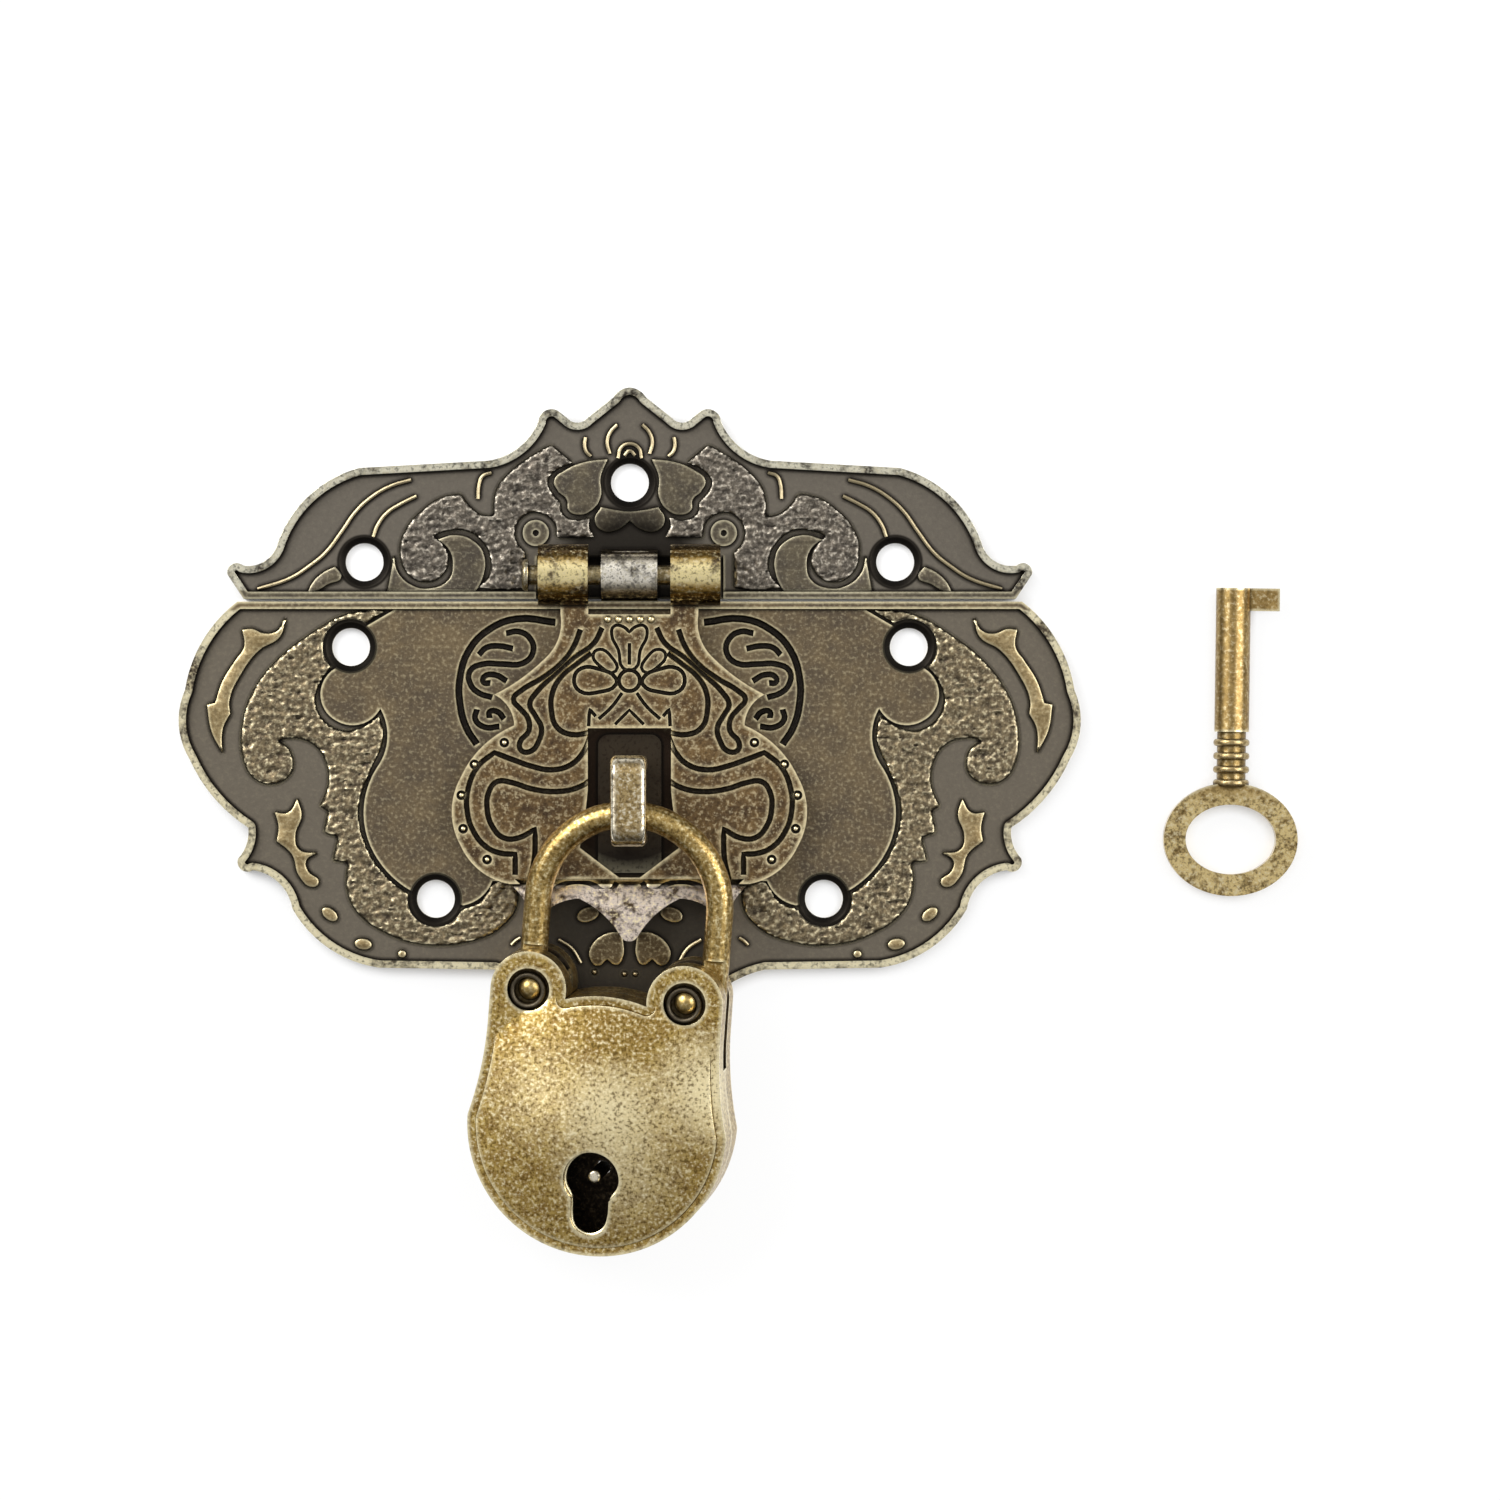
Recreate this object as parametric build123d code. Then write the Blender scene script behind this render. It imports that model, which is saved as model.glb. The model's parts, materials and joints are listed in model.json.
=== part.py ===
from build123d import *
from math import atan2, cos, degrees, radians, sin
import os

# Antique hasp lock set for a small box: a hinged hasp on an upper plate, a staple
# on a lower plate, a small ring-shackle padlock hung in the staple, and its key.
# Millimetres. +X right and +Y up across the face of the box, +Z out of the box.
# The origin lies on the plates' back plane, on the centre line, at the parting line.

# Blocks that only trim are this large, past the size of any piece
cutter = 120.0

# Plates, cast with a sunken ground and a raised rim
ground = 1.4
rim_height = 2.3
rim_width = 0.8
field_height = 2.0
screw_hole_r = 2.1
countersink_r = 2.75
countersink_depth = 0.55
parting_gap = 0.3

# Upper plate, half sizes from the centre line
upper_half = 44.5
upper_peak = 23.7
upper_edge = 0.3
upper_hole_half_spacing = 29.4
upper_hole_y = 4.4
top_hole_y = 13.2
eye_boss_r = 1.45
eye_boss_height = 1.8
eye_boss_half_spacing = 10.4
eye_boss_y = 7.6

# Lower plate
lower_half = 49.9
lower_bottom = -40.7
pendant_drop = 6.0
pendant_half = 15.0
high_hole_half_spacing = 30.9
high_hole_y = -5.0
low_hole_half_spacing = 21.5
low_hole_y = -32.9
field_foot = -30.9

# Hinge
pin_y = 2.9
pin_z = 4.3
pin_r = 1.1
pin_fit = 0.05
pin_head_r = 1.75
pin_head_thickness = 0.7
pin_head_chamfer = 0.25
pin_head_gap = 1.1
pin_end_short = 0.3
knuckle_r = 3.4
knuckle_inner = 4.55
knuckle_outer = 10.05
middle_knuckle_r = 2.9
middle_knuckle_half = 3.1
hinge_clearance = 0.3

# Hasp plate
hasp_back = 2.75
hasp_thickness = 1.8
hasp_relief = 0.4
hasp_rim_width = 0.75
hasp_notch_y = -1.45
hasp_end = -37.5
neck_half = 7.6
slot_top = -14.0
slot_half = 4.6
slot_straight = -20.8
slot_wide_half = 5.5
slot_wide_y = -27.2
slot_bottom = -30.5
slot_bottom_half = 1.15
tip_bend_y = -31.2
tip_lift = 2.0
tip_thickness = 1.3

# Staple
staple_width = 3.9
staple_top_y = -17.0
staple_bottom_y = -27.0
staple_bar = 1.8
staple_round = 0.6
staple_shoulder = 2.2
staple_tenon = 0.9
boss_half = 3.5
boss_top_y = -14.7
boss_bottom_y = -30.0
boss_height = 2.4
boss_corner = 1.2
window_clearance = 0.6
bar_below_middle = 1.5

# Padlock, in its own frame: u right, v up from the rivets' line, w out of its back
case_depth = 8.4
case_wall = 1.1
case_crown = 1.5
crown_r = 75.0
case_rim_width = 1.0
rivet_half_spacing = 8.67
lobe_r = 4.2
lobe_root_v = -0.7
lobe_floor_v = -2.8
case_waist = 12.9
waist_v = -4.6
case_belly = 14.4
belly_v = -14.4
flank_hollow = 0.3
case_bottom = -28.8
side_gap_v = -7.4
bridge_foot_v = -3.0
bridge_left = -5.0
bridge_right = 7.4
well_r = 2.35
well_depth = 1.3
rivet_r = 0.8
rivet_head_r = 1.4
rivet_head_height = 1.0
rivet_fit = 0.05
keyhole_v = -20.1
keyhole_r = 3.1
keyhole_slot = 4.2
keyhole_foot = -26.4

# Shackle
bar_r = 1.5
ring_r = 10.1
ring_v = 9.66
leg_outset = 0.3
tang = 2.0
tang_top = 4.6
tang_play = 0.15
lug_r = 2.3
leg_end_v = -5.8
notch_top_v = -2.9
notch_bottom_v = -4.9
notch_depth = 1.5
notch_play = 0.15

# Bolt, its posts, spring and drill pin
bolt_thickness = 2.0
bolt_throw = 2.1
bolt_lead = 0.8
bolt_play = 0.1
arm_v = -4.2
arm_height = 3.2
arm_end_u = 7.0
arm_post_u = 4.6
stem_half = 2.9
stem_foot_v = -16.2
stem_post_v = -10.5
talon_depth = 1.5
talon_width = 2.6
post_r = 0.7
post_play = 0.08
post_shoulder_r = 1.3
spring_strip = 0.35
spring_width = 1.6
spring_post_u = -10.0
spring_post_v = -13.0
spring_post_r = 0.9
spring_contact_v = -6.0
spring_back_length = 6.5
drill_pin_r = 0.75
drill_pin_tip_r = 0.55
drill_pin_length = 7.6

# Where the padlock hangs
padlock_turn = -4.3
padlock_tilt = 6.0
padlock_yaw = 8.0
table_gap = 0.05

# Key
key_x = 66.8
key_lean = 0.8
barrel_r = 1.92
barrel_end_y = 1.5
barrel_bore_r = 0.95
barrel_bore_depth = 9.0
shoulder_y = -14.4
bit_reach = 5.1
bit_length = 2.5
bit_thickness = 1.3
collar_count = 4
collar_start = 1.19
collar_pitch = 1.49
collar_r = 2.0
collar_width = 0.8
neck_r = 1.6
bow_length = 12.5
bow_width = 14.8
bow_band = 2.4
bow_thickness = 2.6
bow_seat = 0.3


def slab(x_size, y_size, z_size, x=0.0, y=0.0, z=0.0):
    """A box standing on z, centred on x and y."""
    return Pos(x, y, z + z_size / 2) * Box(x_size, y_size, z_size)


def drum(r, height, x=0.0, y=0.0, z=0.0):
    """An upright cylinder standing on z."""
    return Pos(x, y, z + height / 2) * Cylinder(r, height)


def block_above(y, z=-cutter / 2):
    """A trimming block over everything above y and z."""
    return slab(cutter, cutter, cutter, 0, y + cutter / 2, z)


def block_below(y, z=-cutter / 2):
    """A trimming block over everything below y and above z."""
    return slab(cutter, cutter, cutter, 0, y - cutter / 2, z)


def lying_drum(r, x_from, x_to, y, z):
    """A cylinder along X."""
    turned = Rotation(0, 90, 0) * Cylinder(r, x_to - x_from)
    return Pos((x_from + x_to) / 2, y, z) * turned


def both_sides(right_half):
    """The face bounded by edges right of the centre line and their mirror images."""
    edges = list(right_half)
    edges += [mirror(e, about=Plane.YZ) for e in right_half]
    return make_face(edges)


def upper_outline():
    """Crown-shaped plate: pointed peak, two pairs of horns, straight lower edge."""
    wing_x = upper_half - 1.2
    peak = ThreePointArc((0, upper_peak), (1.0, upper_peak - 0.3), (1.8, upper_peak - 1.1))
    slope = Line((1.8, upper_peak - 1.1), (4.7, 20.3))
    notch = ThreePointArc((4.7, 20.3), (5.8, 19.8), (6.9, 20.3))
    rise = Line((6.9, 20.3), (7.9, 21.1))
    horn = ThreePointArc((7.9, 21.1), (9.4, 21.1), (10.1, 19.9))
    crook = ThreePointArc((10.1, 19.9), (12.2, 17.1), (15.6, 15.6))
    level = ThreePointArc((15.6, 15.6), (22.8, 15.2), (29.9, 14.8))
    shoulder = ThreePointArc((29.9, 14.8), (35.4, 11.8), (upper_half - 5.6, 6.6))
    hollow = ThreePointArc((upper_half - 5.6, 6.6), (upper_half - 4.0, 4.4), (wing_x - 0.5, 4.0))
    wing = ThreePointArc((wing_x - 0.5, 4.0), (upper_half - 0.2, 3.9), (upper_half, 3.0))
    side = Line((upper_half, 3.0), (upper_half - 1.8, upper_edge))
    edge = Line((upper_half - 1.8, upper_edge), (0, upper_edge))
    return both_sides([peak, slope, notch, rise, horn, crook, level, shoulder, hollow, wing, side, edge])


def lower_outline():
    """Shield-shaped plate: straight top edge, round flanks, horns, low pendant."""
    top = upper_edge - parting_gap
    head_x, brow_x = lower_half - 6.5, lower_half - 0.7
    waist_x, horn_x = lower_half - 7.7, lower_half - 6.6
    foot_x = lower_half - 12.6
    drop_x, drop_y = 8.0, lower_bottom - 0.7 * pendant_drop
    head = Line((0, top), (head_x, top))
    brow = ThreePointArc((head_x, top), (lower_half - 2.6, -4.4), (brow_x, -9.8))
    flank = ThreePointArc((brow_x, -9.8), (lower_half, -13.4), (lower_half - 1.2, -17.4))
    waist = ThreePointArc((lower_half - 1.2, -17.4), (lower_half - 4.0, -21.8), (waist_x, -25.0))
    nick = ThreePointArc((waist_x, -25.0), (waist_x + 0.1, -26.6), (horn_x, -28.4))
    horn = ThreePointArc((horn_x, -28.4), (horn_x - 0.1, -29.4), (horn_x - 1.6, -29.7))
    hollow = ThreePointArc((horn_x - 1.6, -29.7), (foot_x + 1.6, -31.0), (foot_x, -34.0))
    foot = ThreePointArc((foot_x, -34.0), (foot_x - 4.1, -38.4), (foot_x - 9.6, lower_bottom + 0.2))
    bottom = Line((foot_x - 9.6, lower_bottom + 0.2), (pendant_half, lower_bottom))
    fall = ThreePointArc((pendant_half, lower_bottom), (11.0, lower_bottom - 1.6), (drop_x, drop_y))
    pendant = ThreePointArc((drop_x, drop_y), (drop_x / 2, drop_y - 0.24 * pendant_drop),
                            (0, lower_bottom - pendant_drop))
    return both_sides([head, brow, flank, waist, nick, horn, hollow, foot, bottom, fall, pendant])


def field_outline():
    """The smooth raised field of the lower plate; its edge runs through the screw holes."""
    top = upper_edge - parting_gap - rim_width / 2
    high_x, low_x = high_hole_half_spacing, low_hole_half_spacing
    head = Line((0, top), (high_x - 5.7, top))
    cut = Line((high_x - 5.7, top), (high_x - 1.6, high_hole_y + 2.2))
    through = Line((high_x - 1.6, high_hole_y + 2.2), (high_x + 1.7, high_hole_y - 2.4))
    lobe = ThreePointArc((high_x + 1.7, high_hole_y - 2.4), (34.2, -10.6), (32.4, -13.2))
    lip = ThreePointArc((32.4, -13.2), (29.6, -13.5), (27.6, -11.8))
    neck = ThreePointArc((27.6, -11.8), (26.8, -14.8), (28.0, -18.4))
    side = ThreePointArc((28.0, -18.4), (29.4, -22.5), (28.7, -27.0))
    heel = ThreePointArc((28.7, -27.0), (26.9, -29.8), (low_x + 1.9, low_hole_y + 0.5))
    under = Line((low_x + 1.9, low_hole_y + 0.5), (low_x - 3.1, low_hole_y - 0.7))
    toe = ThreePointArc((low_x - 3.1, low_hole_y - 0.7), (16.6, -32.8), (15.2, field_foot))
    foot = Line((15.2, field_foot), (0, field_foot))
    return both_sides([head, cut, through, lobe, lip, neck, side, heel, under, toe, foot])


def rimmed_plate(outline):
    """A plate with a sunken ground inside a raised rim."""
    body = extrude(outline, rim_height)
    inside = offset(outline, -rim_width, kind=Kind.ARC)
    return body - Pos(0, 0, ground) * extrude(inside, rim_height)


def screw_holes(places):
    """Through holes, countersunk, with the relief round each one cut down to the ground."""
    sink = Pos(0, 0, ground - countersink_depth / 2) * Cone(screw_hole_r, countersink_r, countersink_depth)
    cuts = drum(screw_hole_r, 3 * rim_height, 0, 0, -rim_height) + sink
    cuts += drum(countersink_r, rim_height, 0, 0, ground)
    return [Pos(x, y) * cuts for x, y in places]


def upper_plate():
    """Upper plate with the middle knuckle cast on, and a trough for the outer two."""
    places = [(0, top_hole_y), (-upper_hole_half_spacing, upper_hole_y),
              (upper_hole_half_spacing, upper_hole_y)]
    plate = rimmed_plate(upper_outline())
    for side in (-1, 1):
        plate += drum(eye_boss_r, eye_boss_height, side * eye_boss_half_spacing, eye_boss_y)
    reach = knuckle_r + hinge_clearance
    span = knuckle_outer + hinge_clearance
    trough = lying_drum(reach, -span, span, pin_y, pin_z)
    apron = slab(2 * span, pin_y, rim_height, 0, 0, ground)
    plate = plate - trough - apron
    web_foot = (pin_z - reach) / 2
    web = slab(2 * middle_knuckle_half, 2 * middle_knuckle_r, pin_z - web_foot, 0, pin_y, web_foot)
    web &= block_above(upper_edge)
    knuckle = lying_drum(middle_knuckle_r, -middle_knuckle_half, middle_knuckle_half,
                         pin_y, pin_z)
    plate = plate + web + knuckle
    return plate - pin_bore() - screw_holes(places)


def hinge_pin():
    """Steel pin headed at the left; its right end stops inside the knuckle."""
    head_x = -knuckle_outer - pin_head_gap
    shaft = lying_drum(pin_r, head_x, knuckle_outer - pin_end_short, pin_y, pin_z)
    head = lying_drum(pin_head_r, head_x - pin_head_thickness, head_x, pin_y, pin_z)
    head = chamfer(head.faces().sort_by(Axis.X)[0].edges(), pin_head_chamfer)
    return shaft + head


def hasp_outline():
    """Neck, pointed shoulders, round lobes, spikes and the small finger tip."""
    top = Line((0, hasp_notch_y), (neck_half, hasp_notch_y))
    neck = ThreePointArc((neck_half, hasp_notch_y), (7.8, -4.0), (9.3, -6.3))
    shoulder = ThreePointArc((9.3, -6.3), (11.9, -8.5), (14.9, -10.3))
    brow = ThreePointArc((14.9, -10.3), (13.2, -11.9), (12.7, -13.7))
    temple = ThreePointArc((12.7, -13.7), (16.2, -16.0), (18.6, -19.4))
    lobe = ThreePointArc((18.6, -19.4), (19.6, -23.2), (18.6, -27.0))
    jowl = ThreePointArc((18.6, -27.0), (16.4, -29.8), (13.2, -31.2))
    spike = ThreePointArc((13.2, -31.2), (11.6, -33.0), (10.6, -35.7))
    arch = ThreePointArc((10.6, -35.7), (8.4, -33.6), (5.6, -32.8))
    flank = ThreePointArc((5.6, -32.8), (3.3, -34.2), (0.9, hasp_end + 0.5))
    tip = ThreePointArc((0.9, hasp_end + 0.5), (0.5, hasp_end + 0.12), (0, hasp_end))
    return both_sides([top, neck, shoulder, brow, temple, lobe, jowl, spike, arch, flank, tip])


def slot_outline():
    """The slot that drops over the staple, wider below, closed by a shallow V."""
    head = Line((0, slot_top), (slot_half, slot_top))
    side = Line((slot_half, slot_top), (slot_half, slot_straight))
    flare = ThreePointArc((slot_half, slot_straight),
                          (0.6 * slot_half + 0.4 * slot_wide_half, 0.5 * (slot_straight + slot_wide_y)),
                          (slot_wide_half, slot_wide_y))
    vee = Line((slot_wide_half, slot_wide_y), (slot_bottom_half, slot_bottom))
    foot = Line((slot_bottom_half, slot_bottom), (0, slot_bottom))
    return both_sides([head, side, flare, vee, foot])


def hasp_plate():
    """Hasp: knuckles, plate with slot and raised rim, lower end bent out as a tip."""
    outline = hasp_outline()
    flat = Pos(0, 0, hasp_back) * extrude(outline, hasp_thickness)
    inner = offset(outline, -hasp_rim_width, kind=Kind.ARC)
    flat -= Pos(0, 0, hasp_back + hasp_thickness - hasp_relief) * extrude(inner, hasp_relief)
    flat -= block_below(tip_bend_y)
    rise = degrees(atan2(tip_lift, tip_bend_y - hasp_end))
    leaf = slab(cutter, cutter, tip_thickness, 0, -cutter / 2)
    leaf = Pos(0, tip_bend_y, hasp_back) * Rotation(-rise, 0, 0) * leaf
    plate = flat + (Pos(0, 0, hasp_back) * extrude(outline, cutter) & leaf)
    arm_width = neck_half - knuckle_inner
    for side in (-1, 1):
        a, b = sorted((side * knuckle_inner, side * knuckle_outer))
        plate += lying_drum(knuckle_r, a, b, pin_y, pin_z)
        plate += slab(arm_width, pin_y - hasp_notch_y, hasp_thickness,
                      side * (knuckle_inner + arm_width / 2), (pin_y + hasp_notch_y) / 2, hasp_back)
    return plate - extrude(slot_outline(), cutter) - pin_bore()


def pin_bore():
    return lying_drum(pin_r + pin_fit, -2 * knuckle_outer, 2 * knuckle_outer, pin_y, pin_z)


def lower_plate():
    """Lower plate with its raised field, and the boss that the staple is riveted through."""
    places = [(side * high_hole_half_spacing, high_hole_y) for side in (-1, 1)]
    places += [(side * low_hole_half_spacing, low_hole_y) for side in (-1, 1)]
    plate = rimmed_plate(lower_outline()) + extrude(field_outline(), field_height)
    length = boss_top_y - boss_bottom_y
    boss = slab(2 * boss_half, length, boss_height, 0, (boss_top_y + boss_bottom_y) / 2)
    boss = fillet(boss.edges().filter_by(Axis.Z), boss_corner)
    plate += boss
    for y in staple_legs():
        plate -= slab(staple_width - 2 * staple_tenon, staple_bar, 3 * boss_height, 0, y, -boss_height)
    return plate - screw_holes(places)


def staple_legs():
    """Y of the two legs' centre lines."""
    return staple_top_y - staple_bar / 2, staple_bottom_y + staple_bar / 2


def staple():
    """Bridge with rounded shoulders, each leg shouldered down to a tenon."""
    top = bar_height() + bar_r + window_clearance + staple_bar
    length = staple_top_y - staple_bottom_y
    middle = (staple_top_y + staple_bottom_y) / 2
    block = slab(staple_width, length, top - boss_height, 0, middle, boss_height)
    block = fillet(block.edges().filter_by(Axis.X).sort_by(Axis.Z)[-2:], staple_shoulder)
    window = slab(2 * staple_width, length - 2 * staple_bar, top - staple_bar - boss_height,
                  0, middle, boss_height)
    window = fillet(window.edges().filter_by(Axis.X).sort_by(Axis.Z)[-2:],
                    staple_shoulder - staple_bar / 2)
    body = block - window
    outer = [e for f in body.faces().filter_by(Axis.X) for e in f.outer_wire().edges()]
    body = fillet([e for e in outer if e.center().Z > boss_height + 0.1], staple_round)
    for y in staple_legs():
        body += slab(staple_width - 2 * staple_tenon, staple_bar, boss_height, 0, y)
    return body


def case_outline():
    """Ring padlock: two rivet lobes over a waist that swells to a round belly."""
    root_u = rivet_half_spacing - (lobe_r ** 2 - lobe_root_v ** 2) ** 0.5
    crest = radians(107)
    flank_u = rivet_half_spacing + lobe_r
    slope = radians(45)
    low = (case_belly * cos(slope), belly_v + (case_bottom - belly_v) * sin(slope))
    top = ThreePointArc((0, 0), (root_u / 2, lobe_root_v / 4), (root_u, lobe_root_v))
    lobe = ThreePointArc((root_u, lobe_root_v),
                         (rivet_half_spacing + lobe_r * cos(crest), lobe_r * sin(crest)), (flank_u, 0))
    side = Line((flank_u, 0), (case_waist, waist_v))
    hollow_u = (case_waist + case_belly) / 2 - flank_hollow
    swell = ThreePointArc((case_waist, waist_v), (hollow_u, (waist_v + belly_v) / 2),
                          (case_belly, belly_v))
    belly = ThreePointArc((case_belly, belly_v), low, (0, case_bottom))
    return both_sides([top, lobe, side, swell, belly])


def ring_centre_u():
    """The left leg stands over its rivet, so the ring lies a little to the right."""
    return ring_r - rivet_half_spacing - leg_outset


def padlock_place():
    """The padlock's frame: its bar in the staple, its lowest point on the table."""
    spot = Rotation(padlock_tilt, -padlock_yaw, 0) * Rotation(0, 0, padlock_turn)
    half = case_depth / 2
    centre = (spot * Pos(ring_centre_u(), ring_v, half)).position
    bar = (spot * Pos(ring_centre_u(), ring_v + ring_r, half)).position
    bar_y = (staple_top_y + staple_bottom_y) / 2 - bar_below_middle
    rim = [(case_belly * cos(radians(a)), belly_v + (belly_v - case_bottom) * sin(radians(a)), 0)
           for a in range(200, 341, 5)]
    lowest = min((spot * Pos(*p)).position.Z for p in rim)
    return Pos(-centre.X, bar_y - bar.Y, table_gap - lowest) * spot


def bar_height():
    """Height of the bar's centre where it passes through the staple."""
    return (padlock_place() * Pos(ring_centre_u(), ring_v + ring_r, case_depth / 2)).position.Z


def shackle():
    """Ring shackle: a round bar bent to a C, its ends flattened to tangs."""
    left = ring_centre_u() - ring_r
    right = ring_centre_u() + ring_r
    bend = ThreePointArc((left, ring_v), (ring_centre_u(), ring_v + ring_r), (right, ring_v))
    legs = [Line((left, 0), (left, ring_v)), Line((right, ring_v), (right, leg_end_v))]
    path = Wire([legs[0], bend, legs[1]])
    bar = sweep(Plane(origin=(left, 0, 0), z_dir=(0, 1, 0)) * Circle(bar_r), path)
    flat_part = slab(cutter, cutter, tang, 0, tang_top - cutter / 2, -tang / 2)
    bar = (bar & block_above(tang_top)) + (bar & flat_part)
    bar += drum(lug_r, tang, -rivet_half_spacing, 0, -tang / 2)
    bar -= slab(2 * notch_depth, notch_top_v - notch_bottom_v, 4 * bar_r,
                right - bar_r, (notch_top_v + notch_bottom_v) / 2, -2 * bar_r)
    bar -= drum(rivet_r + rivet_fit, 4 * bar_r, -rivet_half_spacing, 0, -2 * bar_r)
    return Pos(0, 0, case_depth / 2) * bar


def case_half():
    """A cast pan with solid lobes, open at its edge where the shackle swings."""
    half = case_depth / 2
    lobe_top = half - tang / 2 - tang_play
    outline = case_outline()
    inside = offset(outline, -case_wall, kind=Kind.ARC)
    cavity = Pos(0, 0, case_wall) * extrude(inside, half)
    pan = extrude(outline, half) - (cavity & block_below(lobe_floor_v))
    leg_u = ring_centre_u() + ring_r - bar_r
    head = block_above(lobe_floor_v, lobe_top)
    leg_side = block_above(side_gap_v, lobe_top) & slab(cutter, cutter, cutter, leg_u + cutter / 2)
    bridge = Pos(0, 0, lobe_top) * extrude(outline - inside, half - lobe_top)
    bridge &= slab(bridge_right - bridge_left, -2 * bridge_foot_v, cutter,
                   (bridge_left + bridge_right) / 2)
    return pan - head - leg_side + bridge


def rivet_spots():
    return [(-rivet_half_spacing, 0), (rivet_half_spacing, 0)]


def padlock_front_shell():
    """Front half: crowned face inside a plain rim, rivet wells and the keyhole."""
    half = case_depth / 2
    shell = Pos(0, 0, case_depth) * mirror(case_half(), about=Plane.XY)
    face = offset(case_outline(), -case_rim_width, kind=Kind.ARC)
    ball = Pos(0, belly_v, case_depth + case_crown - crown_r) * Sphere(crown_r)
    shell += Pos(0, 0, case_depth - case_wall) * extrude(face, case_depth) & ball
    keep_hollow = offset(case_outline(), -case_wall, kind=Kind.ARC)
    hollow = Pos(0, 0, half) * extrude(keep_hollow, half - case_wall)
    shell -= hollow & block_below(lobe_floor_v)
    bolt_front = half + bolt_thickness / 2 + bolt_play
    for u, v in bolt_posts():
        shell += drum(post_shoulder_r, case_depth - case_wall / 2 - bolt_front, u, v, bolt_front)
    for u, v in rivet_spots():
        shell -= drum(well_r, case_depth, u, v, case_depth - well_depth)
        shell -= drum(rivet_r + rivet_fit, case_depth, u, v, half)
    return shell - keyhole()


def padlock_back_shell():
    """Back half, with the posts for the bolt and the spring cast on its floor."""
    half = case_depth / 2
    shell = case_half()
    for u, v in bolt_posts():
        shell += drum(post_shoulder_r, half - bolt_thickness / 2 - bolt_play, u, v)
        shell += drum(post_r, half + bolt_thickness / 2, u, v)
    shell += drum(spring_post_r, half + spring_width / 2, spring_post_u, spring_post_v)
    for u, v in rivet_spots():
        shell -= drum(rivet_r + rivet_fit, case_depth, u, v, -half)
    return shell - drum(drill_pin_r + rivet_fit, case_depth, 0, keyhole_v, -half)


def keyhole():
    """Round hole over a wide slot with a round foot."""
    foot_r = keyhole_slot / 2
    slot_v = keyhole_foot + foot_r
    hole = drum(keyhole_r, case_depth, 0, keyhole_v) + drum(foot_r, case_depth, 0, slot_v)
    hole += slab(keyhole_slot, keyhole_v - slot_v, case_depth, 0, (keyhole_v + slot_v) / 2)
    return Pos(0, 0, case_depth / 2) * hole


def case_rivet(u):
    """Dome-headed rivet through both shells; the head sits in the front well."""
    seat = case_depth - well_depth
    ball_r = (rivet_head_r ** 2 + rivet_head_height ** 2) / (2 * rivet_head_height)
    dome = Pos(0, 0, seat + rivet_head_height - ball_r) * Sphere(ball_r)
    dome &= drum(rivet_head_r, rivet_head_height, 0, 0, seat)
    return Pos(u, 0, 0) * (drum(rivet_r, seat, 0, 0, 0) + dome)


def drill_pin():
    """The pin that the hollow key slips over, riveted into the back shell."""
    pin = drum(drill_pin_r, drill_pin_length, 0, keyhole_v)
    return chamfer(pin.faces().sort_by(Axis.Z)[-1].edges(), drill_pin_r - drill_pin_tip_r)


def bolt_posts():
    """Guide posts: one under the bolt's arm, one under its stem."""
    return [(arm_post_u, arm_v), (0, stem_post_v)]


def lock_bolt():
    """Spring bolt, drawn back: an arm to the shackle, a stem down to the key."""
    head_u = ring_centre_u() + ring_r - bar_r - bolt_lead
    head_height = notch_top_v - notch_bottom_v - 2 * notch_play
    bolt = slab(head_u + stem_half, head_height, bolt_thickness,
                (head_u - stem_half) / 2, (notch_top_v + notch_bottom_v) / 2)
    bolt += slab(arm_end_u + stem_half, arm_height, bolt_thickness, (arm_end_u - stem_half) / 2, arm_v)
    stem_top = arm_v + arm_height / 2
    bolt += slab(2 * stem_half, stem_top - stem_foot_v, bolt_thickness, 0, (stem_top + stem_foot_v) / 2)
    talon = stem_foot_v + talon_depth / 2
    bolt -= slab(talon_width, talon_depth, bolt_thickness, 0, talon)
    for u, v in bolt_posts():
        reach = post_r + post_play
        for end in (u, u - bolt_throw):
            bolt -= drum(reach, bolt_thickness, end, v)
        bolt -= slab(bolt_throw, 2 * reach, bolt_thickness, u - bolt_throw / 2, v)
    return Pos(0, 0, (case_depth - bolt_thickness) / 2) * bolt


def bolt_spring():
    """Leaf spring looped round its post, pushing the bolt towards the shackle."""
    loop = spring_post_r + spring_strip / 2 + post_play
    u, v = spring_post_u, spring_post_v
    contact_u = -stem_half - spring_strip - post_play
    back = Line((u - loop, v + spring_back_length), (u - loop, v))
    bend = ThreePointArc((u - loop, v), (u, v - loop), (u + loop, v))
    blade = Line((u + loop, v), (contact_u, spring_contact_v))
    strip = trace([back, bend, blade], spring_strip)
    return Pos(0, 0, (case_depth - spring_width) / 2) * extrude(strip, spring_width)


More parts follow.
